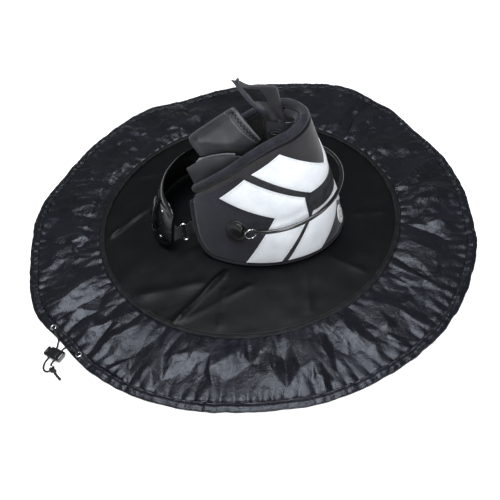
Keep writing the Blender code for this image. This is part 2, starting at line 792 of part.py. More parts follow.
def build_boot(name, side, looks):
    """Rubber boot: a cone from a round foot on the shell to a mouth that holds the rail."""
    mouth, tangent, outside = rail_frame(MOUTH_AT * side)
    tangent = tangent * -side
    out = outward(BOOT_U * side)
    upper = outside.cross(tangent)
    upper = upper if upper.z > 0 else -upper

    def foot_point(forwards, upwards, radius, off):
        return on_shell(BOOT_U * side + forwards * side * radius, BOOT_Z + upwards * radius, off)

    def mouth_point(forwards, upwards, radius, back_by):
        return mouth - tangent * back_by + (outside * forwards + upper * upwards) * radius

    loops = []
    for radius in (0.002, 0.011, 0.020, BOOT_RADIUS):
        loops.append(boot_loop(lambda f, v: foot_point(f, v, radius, GAP)))
    rows = 4
    for i in range(rows + 1):
        share = i / rows
        bulge = out * (BOOT_BULGE * math.sin(math.pi * share))
        loops.append(boot_loop(
            lambda f, v: foot_point(f, v, BOOT_RADIUS, GAP + BOOT_RIM).lerp(
                mouth_point(f, v, BOOT_MOUTH_RADIUS, 0.0), share ** 0.9) + bulge
        ))
    for back_by in (0.0, BOOT_BORE):
        loops.append(boot_loop(lambda f, v: mouth_point(f, v, RAIL_RADIUS + 0.0006, back_by)))
    return sweep(name, loops, looks["rubber"])


def ring_points(angle):
    """The steel ring hanging on the rail at an angle, twisted to lie nearly along it."""
    place, tangent, outside = rail_frame(angle)
    level = Vector((outside.x, outside.y, 0.0)).normalized()
    twist = math.radians(RING_TWIST)
    along = (tangent * -math.sin(twist) * (1 if angle > 0 else -1) * -1 + level * math.cos(twist))
    along = (along - Vector((0, 0, along.z))).normalized()
    centre = place - Vector((0.0, 0.0, RING_DROP))
    return [
        centre + along * (RING_MAJOR * math.cos(s)) + Vector((0, 0, RING_MAJOR * math.sin(s)))
        for s in (2 * math.pi * k / 20 for k in range(20))
    ]


def build_rail(looks):
    steps = 40
    points = [rail_frame(-RAIL_END + 2 * RAIL_END * k / steps)[0] for k in range(steps + 1)]
    rail = tube("rail_tube", points, RAIL_RADIUS, looks["gloss_black"])
    boots = [build_boot("boot_left", LEFT, looks), build_boot("boot_right", RIGHT, looks)]
    ring = tube("rail_ring", ring_points(-RING_AT), RING_WIRE, looks["steel"], cyclic=True, detail=2)
    ride_on("ring_travel_axis", RAIL_CENTRE, [ring])
    return [rail, *boots]


# ================= belts inside =================


def ribbon(name, stations, rows, count, thickness, look):
    """Sheet through hand-chosen stations, each a low point followed by a high point."""
    line = smooth_line(stations, count)
    grid = [
        [row[:3] + (row[3:] - row[:3]) * j / rows for j in range(rows + 1)]
        for row in line
    ]
    return sheet(name, grid, thickness, look)


def plate(name, outline, x, thickness, look):
    """Flat plate across X, with an outline of (y, z) points."""
    bm = bmesh.new()
    near = [bm.verts.new((x - thickness / 2, y, z)) for y, z in outline]
    far = [bm.verts.new((x + thickness / 2, y, z)) for y, z in outline]
    bm.faces.new(near)
    bm.faces.new(far[::-1])
    for k in range(len(outline)):
        after = (k + 1) % len(outline)
        bm.faces.new((near[k], near[after], far[after], far[k]))
    bmesh.ops.triangulate(bm, faces=[f for f in bm.faces if len(f.verts) > 4])
    return finish_mesh(name, bm, look)


def against_lining(u, low, high):
    """Belt station that lies flat against the leaning lining."""
    return (*on_shell(u, low, BELT_DEPTH), *on_shell(u, high, BELT_DEPTH))


def upright(x, y, low, high):
    """Belt station that stands straight up."""
    return (x, y, low, x, y, high)


def build_belts(looks):
    skin = looks["smooth_skin"]
    near_stations = [
        against_lining(-0.150, 0.100, 0.235), against_lining(-0.200, 0.100, 0.240),
        against_lining(-0.245, 0.105, 0.236), (-0.0780, -0.030, 0.110, -0.0560, -0.030, 0.226),
        (-0.0690, 0.015, 0.112, -0.0520, 0.015, 0.220),
        (-0.0620, 0.055, 0.113, -0.0500, 0.060, 0.204),
        (-0.0580, 0.084, 0.114, -0.0500, 0.104, 0.172),
    ]
    near = ribbon("near_belt", near_stations, 3, 30, BELT, skin)
    fold_stations = [
        (-0.0240, 0.078, 0.181, -0.0455, 0.078, 0.189), (-0.0240, 0.050, 0.181, -0.0455, 0.050, 0.206),
        (-0.0240, 0.015, 0.181, -0.0455, 0.015, 0.217), (-0.0240, -0.006, 0.181, -0.0475, -0.006, 0.221),
    ]
    fold = ribbon("near_belt_fold", fold_stations, 2, 8, BELT, skin)
    flap = plate(
        "near_belt_end",
        [(0.080, 0.1865), (0.094, 0.213), (0.093, 0.238), (0.050, 0.275), (0.011, 0.306),
         (-0.008, 0.320), (-0.030, 0.284), (-0.056, 0.243), (-0.030, 0.210), (-0.006, 0.1865)],
        NEAR_FOLD.x, 0.005, skin,
    )
    seam = plate(
        "zigzag_seam",
        [(-0.0020, 0.3030), (-0.0260, 0.2715), (-0.0465, 0.2410), (-0.0430, 0.2385),
         (-0.0225, 0.2690), (0.0015, 0.3005)],
        NEAR_FOLD.x - 0.0025 - GAP - 0.0004, 0.0008, looks["thread"],
    )
    far_stations = [
        against_lining(0.260, 0.100, 0.232), against_lining(0.200, 0.100, 0.250),
        against_lining(0.140, 0.100, 0.258), against_lining(0.090, 0.100, 0.262),
        upright(0.028, -0.124, 0.105, 0.264), upright(0.013, -0.108, 0.110, 0.266),
        upright(0.011, -0.085, 0.115, 0.266), upright(0.011, -0.060, 0.120, 0.266),
    ]
    far = ribbon("far_belt", far_stations, 3, 26, BELT, skin)
    tall = plate(
        "far_belt_end",
        [(-0.058, 0.2725), (-0.052, 0.292), (-0.028, 0.324), (-0.010, 0.350), (-0.012, 0.358),
         (-0.034, 0.348), (-0.060, 0.349), (-0.084, 0.352), (-0.089, 0.344), (-0.094, 0.300),
         (-0.100, 0.2725)],
        FAR_FOLD.x, 0.004, skin,
    )
    patch = plate(
        "hook_loop_patch",
        [(-0.027, 0.340), (-0.030, 0.309), (-0.066, 0.313), (-0.061, 0.343)],
        FAR_FOLD.x - 0.002 - GAP - 0.0008, 0.0016, looks["hook_loop"],
    )
    tab = plate(
        "slot_tab",
        [(-0.062, 0.241), (-0.068, 0.248), (-0.092, 0.248), (-0.097, 0.241), (-0.092, 0.229),
         (-0.068, 0.229)],
        0.011 - BELT / 2 - GAP - 0.0008, 0.0014, skin,
    )
    slot = plate(
        "slot_cutter",
        [(-0.072, 0.2415), (-0.088, 0.2415), (-0.090, 0.2385), (-0.088, 0.2355), (-0.072, 0.2355),
         (-0.070, 0.2385)],
        0.0085, 0.004, skin,
    )
    cut(tab, slot)
    ride_on("near_belt_fold_axis", NEAR_FOLD, [flap, seam])
    ride_on("far_belt_fold_axis", FAR_FOLD, [tall, patch])
    return [near, fold, far, tab]


# ================= front pad and its webbing =================


def on_pad(degrees, height, off=0.0):
    """Point on the front pad's outer face, at degrees from the middle of the front."""
    turn = math.radians(degrees)
    share = (height - PAD_FOOT) / (PAD_TOP - PAD_FOOT)
    out = Vector((PAD_HALF_Y * math.sin(turn), PAD_HALF_X * math.cos(turn), 0.0)).normalized()
    foot = Vector((PAD_HALF_X * math.sin(turn), PAD_CENTRE_Y + PAD_HALF_Y * math.cos(turn), height))
    return foot + out * (off - PAD_LEAN * share)


def build_pad(looks):
    rows, columns = 4, 16
    ends = math.radians(90)
    outer, inner = [], []
    for i in range(columns + 1):
        share = i / columns * 2 - 1
        narrow = 1 - 0.35 * max(0.0, (abs(share) - 0.75) / 0.25) ** 2
        middle = (PAD_TOP + PAD_FOOT) / 2
        half = (PAD_TOP - PAD_FOOT) / 2 * (narrow if abs(share) > 0.75 else 1.0)
        outer.append([])
        inner.append([])
        for j in range(rows + 1):
            height = middle + half * (2 * j / rows - 1)
            puff = math.cos(ends * (2 * j / rows - 1) * 0.92) * 0.5 + 0.5
            outer[-1].append(on_pad(share * PAD_SWEEP, height, 0.0))
            inner[-1].append(on_pad(share * PAD_SWEEP, height, -PAD_THICKNESS * (0.55 + 0.45 * puff)))
    pad = slab("front_pad", outer, inner, looks["gloss_pad"])
    strap = [
        (-44.0, 0.030, 0.0010), (-42.0, 0.033, 0.0060), (-38.0, 0.045, 0.0085),
        (-35.0, 0.065, 0.0085), (-33.0, 0.083, 0.0060), (-32.0, 0.090, 0.0010),
    ]
    line = smooth_line(strap, 12)
    grid = [
        [tuple(on_pad(a + k, h, off + WEB_THICKNESS / 2 + 0.0004)) for k in (-5.0, 0.0, 5.0)]
        for a, h, off in line
    ]
    loop = sheet("pad_strap_loop", grid, WEB_THICKNESS, looks["gloss_pad"])
    rivets = []
    for name, degrees, height in (("pad_rivet_low", -58.0, 0.028), ("pad_rivet_high", -52.0, 0.084)):
        rivets.append(build_rivet(name, degrees, height, looks))
    webbing_left = build_pad_web(looks)
    ride_on("pad_swing_axis", buckle_middle(LEFT), [pad, loop, webbing_left, *rivets])


def build_rivet(name, degrees, height, looks):
    """Domed rivet head on the pad's face."""
    centre = on_pad(degrees, height)
    ahead = (on_pad(degrees + 1, height) - centre).normalized()
    up = (on_pad(degrees, height + 0.001) - centre).normalized()
    out = up.cross(ahead)
    out = out if out.y > 0 else -out
    sections = []
    for radius, off in ((0.0036, 0.0006), (0.0036, 0.0014), (0.0024, 0.0024)):
        sections.append([
            centre + out * off + (ahead * math.cos(s) + up * math.sin(s)) * radius
            for s in (2 * math.pi * k / 12 for k in range(12))
        ])
    return sweep(name, sections, looks["steel"])


def buckle_middle(side):
    return Vector((BUCKLE.x * side, BUCKLE.y, BUCKLE.z))


def build_buckle(name, side, looks):
    """Oblong wire buckle: two upright bars, the front one the pad's hinge."""
    middle = buckle_middle(side)
    back = Vector((-0.35 * side, -0.94, 0.0)).normalized() * 0.0105
    tall = Vector((0.0, 0.0, BUCKLE_HALF_HEIGHT))
    corner = Vector((0.0, 0.0, 0.003))
    inset = back * 0.25
    points = [
        middle - tall + corner, middle + tall - corner, middle + tall + inset,
        middle + tall + back - inset, middle + tall - corner + back,
        middle - tall + corner + back, middle - tall + back - inset, middle - tall + inset,
    ]
    return tube(name, points, BUCKLE_BAR_RADIUS, looks["steel"], cyclic=True, detail=3)


def web(name, side, stations, look):
    """Upright strap through stations given for the right side, each a low and a high point."""
    turned = [(x0 * side, y0, z0, x1 * side, y1, z1) for x0, y0, z0, x1, y1, z1 in stations]
    return ribbon(name, turned, 2, 14, WEB_THICKNESS, look)


def build_wing_web(name, side, looks):
    """Strap sewn inside a wing that runs forward to the buckle's rear bar."""
    low = BUCKLE.z - WEB_HALF_HEIGHT
    high = BUCKLE.z + WEB_HALF_HEIGHT
    stations = [against_lining(u, low, high) for u in (0.352, 0.372, 0.390)]
    stations += [upright(0.1030, 0.0935, low, high), upright(0.1142, 0.0990, low, high)]
    return web(name, side, stations, looks["webbing"])


def build_pad_web(looks):
    """Strap from the left buckle's front bar to the pad."""
    low = BUCKLE.z - WEB_HALF_HEIGHT
    high = BUCKLE.z + WEB_HALF_HEIGHT
    end = (*on_pad(78.5, low, -0.0045), *on_pad(78.5, high, -0.0045))
    stations = [
        upright(0.1208, 0.1134, low, high), upright(0.1245, 0.1190, low, high), end,
    ]
    return web("pad_webbing_left", LEFT, stations, looks["webbing"])


# ================= whole object =================


def main():
    for piece in list(bpy.data.objects):
        bpy.data.objects.remove(piece, do_unlink=True)
    looks = {
        "tarpaulin": material("tarpaulin", (0.008, 0.010, 0.010), 0.42),
        "seam": material("seam", (0.010, 0.012, 0.013), 0.50),
        "nylon": material("nylon", (0.014, 0.015, 0.019), 0.38),
        "cord": material("cord", (0.010, 0.010, 0.009), 0.70),
        "steel": material("steel", (0.75, 0.75, 0.76), 0.22, 1.0),
        "gloss_black": material("gloss_black", (0.008, 0.008, 0.009), 0.12),
        "neoprene": material("neoprene", (0.022, 0.021, 0.026), 0.75),
        "lining": material("lining", (0.020, 0.020, 0.022), 0.85),
        "binding": material("binding", (0.025, 0.025, 0.036), 0.60),
        "white": material("white", (0.86, 0.88, 0.90), 0.42),
        "tape": material("tape", (0.028, 0.028, 0.031), 0.70),
        "rubber": material("rubber", (0.014, 0.014, 0.015), 0.50),
        "smooth_skin": material("smooth_skin", (0.046, 0.046, 0.046), 0.45),
        "thread": material("thread", (0.006, 0.006, 0.006), 0.60),
        "hook_loop": material("hook_loop", (0.008, 0.008, 0.009), 0.90),
        "gloss_pad": material("gloss_pad", (0.007, 0.007, 0.007), 0.20),
        "webbing": material("webbing", (0.022, 0.024, 0.024), 0.60),
    }
    build_mat(looks)
    build_drawcord(looks)
    build_lock(looks)
    pieces = build_shell(looks)
    pieces += build_panels(looks)
    pieces += build_rail(looks)
    pieces += build_belts(looks)
    pieces.append(build_buckle("buckle_left", LEFT, looks))
    pieces.append(build_buckle("buckle_right", RIGHT, looks))
    pieces.append(build_wing_web("wing_webbing_left", LEFT, looks))
    pieces.append(build_wing_web("wing_webbing_right", RIGHT, looks))
    build_pad(looks)
    ride_on("harness_lift_axis", Vector((0.0, 0.0, FLOOR)), pieces)


main()
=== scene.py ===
"""Looks for the round drawstring changing mat and the waist harness that stands on it.

Metres, +Z up, origin under the middle of the mat. Places on the harness are (u, z): distance
along the waist from the middle of the back, positive towards +X, and height. A third number
is the distance outwards from the outer face of the shell.
"""
import math

import bmesh
import bpy
import numpy as np
from mathutils import Matrix, Vector, noise
from mathutils.bvhtree import BVHTree
from mathutils.geometry import delaunay_2d_cdt


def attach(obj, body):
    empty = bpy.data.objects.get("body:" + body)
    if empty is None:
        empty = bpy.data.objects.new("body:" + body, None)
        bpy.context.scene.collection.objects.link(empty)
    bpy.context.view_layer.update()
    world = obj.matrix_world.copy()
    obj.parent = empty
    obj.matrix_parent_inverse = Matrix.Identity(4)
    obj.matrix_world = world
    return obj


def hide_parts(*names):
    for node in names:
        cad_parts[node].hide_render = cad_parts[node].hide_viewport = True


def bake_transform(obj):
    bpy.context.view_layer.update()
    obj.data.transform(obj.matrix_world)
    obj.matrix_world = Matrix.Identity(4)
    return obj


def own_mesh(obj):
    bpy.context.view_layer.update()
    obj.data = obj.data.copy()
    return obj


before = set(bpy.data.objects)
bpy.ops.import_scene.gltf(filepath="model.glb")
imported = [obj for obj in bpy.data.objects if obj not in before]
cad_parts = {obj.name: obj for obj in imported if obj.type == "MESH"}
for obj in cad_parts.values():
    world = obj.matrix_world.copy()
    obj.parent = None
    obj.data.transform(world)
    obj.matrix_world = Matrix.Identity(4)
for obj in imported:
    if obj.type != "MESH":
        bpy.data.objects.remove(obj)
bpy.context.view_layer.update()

UP = np.array([0.0, 0.0, 1.0])
LEFT = -1
RIGHT = 1

# ---- the part's own sizes, repeated here ----
SEAM_INNER, SEAM_OUTER, SEAM_HEIGHT = 0.3285, 0.3415, 0.0035
HEM_WIDTH, HEM_HEIGHT = 0.020, 0.0062
HEM_OUTLINE = [
    (-165, 0.500), (-145, 0.508), (-120, 0.511), (-94, 0.503), (-78, 0.492),
    (-62, 0.490), (-45, 0.487), (-30, 0.507), (-14, 0.523), (8, 0.503), (36, 0.487),
    (48, 0.507), (67, 0.495), (82, 0.489), (98, 0.501), (115, 0.496), (134, 0.508),
    (146, 0.496), (158, 0.502), (175, 0.503),
]
CORD = 0.0019
EYELETS = (141.0, 152.0)
LOCK = np.array([-0.4405, 0.2770, 0.0075])
LOCK_OUT = np.array([-0.970, 0.242, 0.0]) / math.hypot(0.970, 0.242)
LOCK_SIDE = np.array([0.242, 0.970, 0.0]) / math.hypot(0.970, 0.242)
HOLES = (0.006, -0.008)
CORD_BEND = 0.0078
SPRING_ENDS, SPRING_TURNS, SPRING_RADIUS, SPRING_WIRE = (-0.0168, -0.0128), 4, 0.0026, 0.00035
LIP_AT, LIP_RADIUS = 0.01165, 0.0026
KNOT = (0.0290, -0.0185, -0.0010)
KNOT_RADII = (0.0062, 0.0078, 0.0055)
TAIL = [(0.0325, -0.0258, -0.0030), (0.0352, -0.0320, -0.0050), (0.0385, -0.0420, -0.0055)]
HALF_WAIST, HALF_DEPTH, WAIST_Y = 0.152, 0.198, -0.02
SHELL, LINING = 0.0060, 0.0090
RIM_DEPTH, RIM_THICK, RIM_TOP, RIM_FOOT = -0.0078, 0.0088, 0.0090, 0.0050
TOP_LINE = [
    (0.0, 0.290), (0.060, 0.286), (0.107, 0.281), (0.172, 0.273), (0.237, 0.250),
    (0.314, 0.205), (0.362, 0.175), (0.400, 0.150),
]
FOOT_LINE = [
    (0.4045, 0.128), (0.397, 0.098), (0.385, 0.062), (0.368, 0.030), (0.343, 0.0115),
    (0.310, 0.0075), (0.180, 0.0073), (0.0, 0.0073),
]
FOOT = 0.0140
RAIL_THICK, RAIL_CIRCLE, RAIL_END = 0.0041, 0.144, 106.5
RAIL_CENTRE = np.array([0.0, -0.070, 0.1060])
RAIL_AXIS = np.array([0.0, 0.162, 0.987]) / math.hypot(0.162, 0.987)
MOUTH_AT, BOOT_U, BOOT_Z, MOUTH_RADIUS, BOOT_BORE = 104.0, 0.276, 0.089, 0.0081, 0.0080
RING_AT, RING_MAJOR, RING_WIRE, RING_DROP, RING_TWIST = -97.0, 0.0122, 0.00125, 0.0058, 52.0
BELT, BELT_DEPTH = 0.0035, -0.0225
NEAR_FOLD, FAR_FOLD = (-0.020, 0.0, 0.1840), (0.011, 0.0, 0.2700)
PAD_CENTRE_Y, PAD_HALF_X, PAD_HALF_Y, PAD_SWEEP = 0.110, 0.150, 0.113, 74.0
PAD_FOOT, PAD_TOP, PAD_LEAN, PAD_CLEAR = 0.0040, 0.1060, 0.040, 0.0072
PAD_SECTOR = (92, 24)
BUCKLE = (0.1202, 0.1105, 0.0500)
BUCKLE_HALF = 0.024
WEB, WEB_HALF = 0.0022, 0.0190


# ================= shape helpers =================


def unit(v):
    v = np.asarray(v, float)
    return v / np.maximum(np.linalg.norm(v, axis=-1, keepdims=True), 1e-12)


def smooth_line(points, count):
    """Points spread evenly along a Catmull-Rom curve through given points."""
    given = [np.array(p, float) for p in points]
    given = [2 * given[0] - given[1], *given, 2 * given[-1] - given[-2]]
    dense = []
    for a, b, c, d in zip(given, given[1:], given[2:], given[3:]):
        for t in np.linspace(0, 1, 24, endpoint=False):
            dense.append(
                0.5 * (2 * b + (c - a) * t + (2 * a - 5 * b + 4 * c - d) * t**2
                       + (3 * b - a - 3 * c + d) * t**3)
            )
    dense.append(given[-2])
    return evenly(dense, count)


def evenly(line, count):
    """The same line with its points spread evenly."""
    dense = np.array(line, float)
    along = np.concatenate([[0.0], np.cumsum(np.linalg.norm(np.diff(dense, axis=0), axis=1))])
    wanted = np.linspace(0, along[-1], count)
    return np.stack([np.interp(wanted, along, column) for column in dense.T], axis=1)


def rough(points, scale, seed):
    """Smooth noise at each point, about -1 to 1; scale is in lumps per metre."""
    shift = Vector((seed * 7.31, seed * 3.17, seed * 1.73))
    flat = np.asarray(points, float).reshape(-1, 3) * scale
    made = np.array([noise.noise(Vector(p) + shift) for p in flat])
    return made.reshape(np.shape(points)[:-1])


def ease(x):
    x = np.clip(x, 0.0, 1.0)
    return x * x * (3 - 2 * x)


def add(name, points, faces, look, body, nodes=(), soft_edge=50):
    """Mesh piece that rides on a body, in one look, and stands for CAD nodes."""
    mesh = bpy.data.meshes.new(name)
    mesh.from_pydata(np.asarray(points, float).reshape(-1, 3).tolist(), [], faces)
    work = bmesh.new()
    work.from_mesh(mesh)
    bmesh.ops.recalc_face_normals(work, faces=work.faces)
    work.to_mesh(mesh)
    work.free()
    mesh.shade_smooth()
    mesh.set_sharp_from_angle(angle=math.radians(soft_edge))
    mesh.materials.append(LOOKS[look])
    piece = bpy.data.objects.new(name, mesh)
    bpy.context.scene.collection.objects.link(piece)
    if body:
        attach(piece, body)
    if nodes:
        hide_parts(*([nodes] if isinstance(nodes, str) else nodes))
    return piece


def smoothed(piece, levels=1):
    """Subdivide a piece and keep the result as its mesh."""
    modifier = piece.modifiers.new("smooth", "SUBSURF")
    modifier.levels = modifier.render_levels = levels
    graph = bpy.context.evaluated_depsgraph_get()
    finished = bpy.data.meshes.new_from_object(piece.evaluated_get(graph))
    piece.modifiers.clear()
    piece.data = finished
    piece.data.shade_smooth()
    return piece


def grid_faces(rows, columns, wrap_rows=False, wrap_columns=False):
    faces = []
    for i in range(rows if wrap_rows else rows - 1):
        after = (i + 1) % rows
        for j in range(columns if wrap_columns else columns - 1):
            k = (j + 1) % columns
            faces.append((i * columns + j, i * columns + k, after * columns + k, after * columns + j))
    return faces


def loft(name, sections, look, body, nodes=(), closed=False, **more):
    """Closed form through a row of loops, capped at both ends unless it is closed."""
    sections = np.asarray(sections, float)
    rows, columns = sections.shape[:2]
    faces = grid_faces(rows, columns, closed, True)
    if not closed:
        faces.append(tuple(range(columns)))
        faces.append(tuple(range((rows - 1) * columns, rows * columns)))
    return add(name, sections, faces, look, body, nodes, **more)


def slab(name, top, low, look, body, nodes=(), wrap=False, **more):
    """Closed form between two grids of points; wrap joins the last row to the first."""
    top, low = np.asarray(top, float), np.asarray(low, float)
    rows, columns = top.shape[:2]
    size = rows * columns
    sheet = grid_faces(rows, columns, wrap)
    faces = sheet + [tuple(k + size for k in face[::-1]) for face in sheet]
    for i in range(rows if wrap else rows - 1):
        after = (i + 1) % rows
        for j in (0, columns - 1):
            a, b = i * columns + j, after * columns + j
            faces.append((a, b, b + size, a + size))
    for i in () if wrap else (0, rows - 1):
        for j in range(columns - 1):
            a, b = i * columns + j, i * columns + j + 1
            faces.append((a, b, b + size, a + size))
    return add(name, np.concatenate([top, low]), faces, look, body, nodes, **more)


def normals(grid):
    return unit(np.cross(np.gradient(grid, axis=0), np.gradient(grid, axis=1)))


def leaf(name, grid, thickness, look, body, nodes=(), edge=2, levels=1, **more):
    """Sheet of cloth or rubber with rounded edges, about a grid of points."""
    grid = np.asarray(grid, float)
    rows, columns = grid.shape[:2]
    i = np.minimum(np.arange(rows), np.arange(rows)[::-1])[:, None]
    j = np.minimum(np.arange(columns), np.arange(columns)[::-1])[None, :]
    half = (normals(grid) * (thickness / 2 * np.clip(0.55 + 0.45 * np.minimum(i, j) / edge, 0, 1))[..., None])
    piece = slab(name, grid + half, grid - half, look, body, nodes, **more)
    return smoothed(piece, levels) if levels else piece


def frames(points, closed=False):
    """Directions along and across a line, carried from point to point without twist."""
    points = np.asarray(points, float)
    steps = np.roll(points, -1, 0) - np.roll(points, 1, 0) if closed else np.gradient(points, axis=0)
    ahead = unit(steps)
    across = np.zeros_like(points)
    across[0] = unit(np.cross(ahead[0], UP if abs(ahead[0][2]) < 0.9 else (1.0, 0, 0)))
    for k in range(1, len(points)):
        across[k] = unit(across[k - 1] - ahead[k] * (across[k - 1] @ ahead[k]))
    other = np.cross(ahead, across)
    if closed:
        last = unit(across[-1] - ahead[0] * (across[-1] @ ahead[0]))
        twist = math.atan2(last @ other[0], last @ across[0])
        turn = (-twist * np.arange(len(points)) / len(points))[:, None]
        across, other = (across * np.cos(turn) + other * np.sin(turn),
                         other * np.cos(turn) - across * np.sin(turn))
    return ahead, across, other


def bar(name, points, radius, look, body, nodes=(), closed=False, sides=16, flat=1.0, domed=True):
    """Round bar or cord; radius is one number or one for each point."""
    points = np.asarray(points, float)
    radius = np.broadcast_to(np.asarray(radius, float), (len(points),)).copy()
    if not closed and domed:
        ahead = unit(points[[1, -1]] - points[[0, -2]])
        turns = np.radians([82, 58, 30])
        first = points[0] - ahead[0] * (radius[0] * np.sin(turns))[:, None]
        last = points[-1] + ahead[1] * (radius[-1] * np.sin(turns[::-1]))[:, None]
        radius = np.concatenate([radius[0] * np.cos(turns), radius, radius[-1] * np.cos(turns[::-1])])
        points = np.concatenate([first, points, last])
    _, across, other = frames(points, closed)
    turn = np.linspace(0, 2 * np.pi, sides, endpoint=False)
    c, s = np.cos(turn)[None, :, None], (flat * np.sin(turn))[None, :, None]
    ring = across[:, None] * c + other[:, None] * s
    return loft(name, points[:, None] + ring * radius[:, None, None], look, body, nodes, closed)


def stitches(line, out, pitch, length, width, rise, wave=0.0):
    """Thread stitches along a line that stand out of a surface: points and faces."""
    along = np.concatenate([[0.0], np.cumsum(np.linalg.norm(np.diff(line, axis=0), axis=1))])
    points, faces = [], []
    for number in range(int(along[-1] / pitch)):
        ends = []
        for share in (number * pitch + (pitch - length) / 2, number * pitch + (pitch + length) / 2):
            ends.append([np.array([np.interp(share, along, c) for c in grid.T]) for grid in (line, out)])
        (a, out_a), (b, out_b) = ends
        side = unit(np.cross(b - a, out_a))
        if wave:
            flip = 1 if number % 2 else -1
            a, b = a - side * wave * flip, b + side * wave * flip
            side = unit(np.cross(b - a, out_a))
        start = len(points)
        a, b = a - out_a * 0.0002, b - out_b * 0.0002
        inner = (b - a) * 0.22
        points += [a - side * width / 2, a + side * width / 2, b + side * width / 2, b - side * width / 2,
                   a + inner + out_a * (rise + 0.0002), b - inner + out_b * (rise + 0.0002)]
        faces += [(0 + start, 1 + start, 4 + start), (1 + start, 2 + start, 5 + start, 4 + start),
                  (2 + start, 3 + start, 5 + start), (3 + start, 0 + start, 4 + start, 5 + start),
                  (3 + start, 2 + start, 1 + start, 0 + start)]
    return points, faces


def add_stitches(name, rows, look, body, **sizes):
    """One mesh with every stitch of several rows, each a line and its outward directions."""
    points, faces = [], []
    for line, out in rows:
        more, sides = stitches(line, out, **sizes)
        faces += [tuple(k + len(points) for k in face) for face in sides]
        points += more
    return add(name, points, faces, look, body, soft_edge=80)


# ================= looks =================


def rgb(r, g, b):
    """Linear colour from the usual 0 to 255 numbers."""
    return (*[c / 255 / 12.92 if c <= 10 else ((c / 255 + 0.055) / 1.055) ** 2.4 for c in (r, g, b)], 1.0)


class Surface:
    """A Principled material and the nodes that feed it."""

    def __init__(self, name, **sockets):
        self.material = bpy.data.materials.new(name)
        self.material.use_nodes = True
        self.tree = self.material.node_tree
        self.shader = self.tree.nodes["Principled BSDF"]
        for word, value in sockets.items():
            self.shader.inputs[word.replace("_", " ")].default_value = value
        self.place = self.add("TexCoord").outputs["Object"]
        self.normal = None

    def add(self, kind, **fields):
        made = self.tree.nodes.new("ShaderNode" + kind)
        for word, value in fields.items():
            setattr(made, word, value)
        return made

    def wire(self, source, socket):
        if hasattr(source, "is_output"):
            self.tree.links.new(source, socket)
        else:
            socket.default_value = source

    def stretched(self, scale):
        made = self.add("Mapping")
        self.wire(self.place, made.inputs["Vector"])
        made.inputs["Scale"].default_value = scale
        return made.outputs["Vector"]

    def noise(self, scale, detail=3.0, rough_by=0.55, bend=0.0, place=None):
        made = self.add("TexNoise")
        self.wire(place or self.place, made.inputs["Vector"])
        given = {"Scale": scale, "Detail": detail, "Roughness": rough_by, "Distortion": bend}
        for word, value in given.items():
            made.inputs[word].default_value = value
        return made.outputs["Fac"]

    def cells(self, scale, feature="F1", place=None):
        made = self.add("TexVoronoi", feature=feature)
        self.wire(place or self.place, made.inputs["Vector"])
        made.inputs["Scale"].default_value = scale
        return made.outputs["Distance"]

    def bands(self, scale, axis, bend=0.0):
        made = self.add("TexWave", bands_direction=axis)
        self.wire(self.place, made.inputs["Vector"])
        made.inputs["Scale"].default_value = scale
        made.inputs["Distortion"].default_value = bend
        return made.outputs["Fac"]

    def math(self, operation, a, b=0.0):
        made = self.add("Math", operation=operation)
        self.wire(a, made.inputs[0])
        self.wire(b, made.inputs[1])
        return made.outputs[0]

    def ramp(self, value, low, high, to_low=0.0, to_high=1.0):
        made = self.add("MapRange")
        for socket, given in zip(made.inputs, (value, low, high, to_low, to_high)):
            self.wire(given, socket)
        return made.outputs[0]

    def color(self, share, a, b):
        made = self.add("Mix", data_type="RGBA")
        self.wire(share, made.inputs["Factor"])
        self.wire(a, made.inputs[6])
        self.wire(b, made.inputs[7])
        self.tree.links.new(made.outputs[2], self.shader.inputs["Base Color"])
        return made.outputs[2]

    def roughness(self, value, low, high, to_low, to_high):
        self.tree.links.new(self.ramp(value, low, high, to_low, to_high), self.shader.inputs["Roughness"])

    def bump(self, height, distance, strength=1.0):
        made = self.add("Bump")
        self.wire(height, made.inputs["Height"])
        made.inputs["Distance"].default_value = distance
        made.inputs["Strength"].default_value = strength
        if self.normal:
            self.wire(self.normal, made.inputs["Normal"])
        self.normal = made.outputs["Normal"]
        self.wire(self.normal, self.shader.inputs["Normal"])


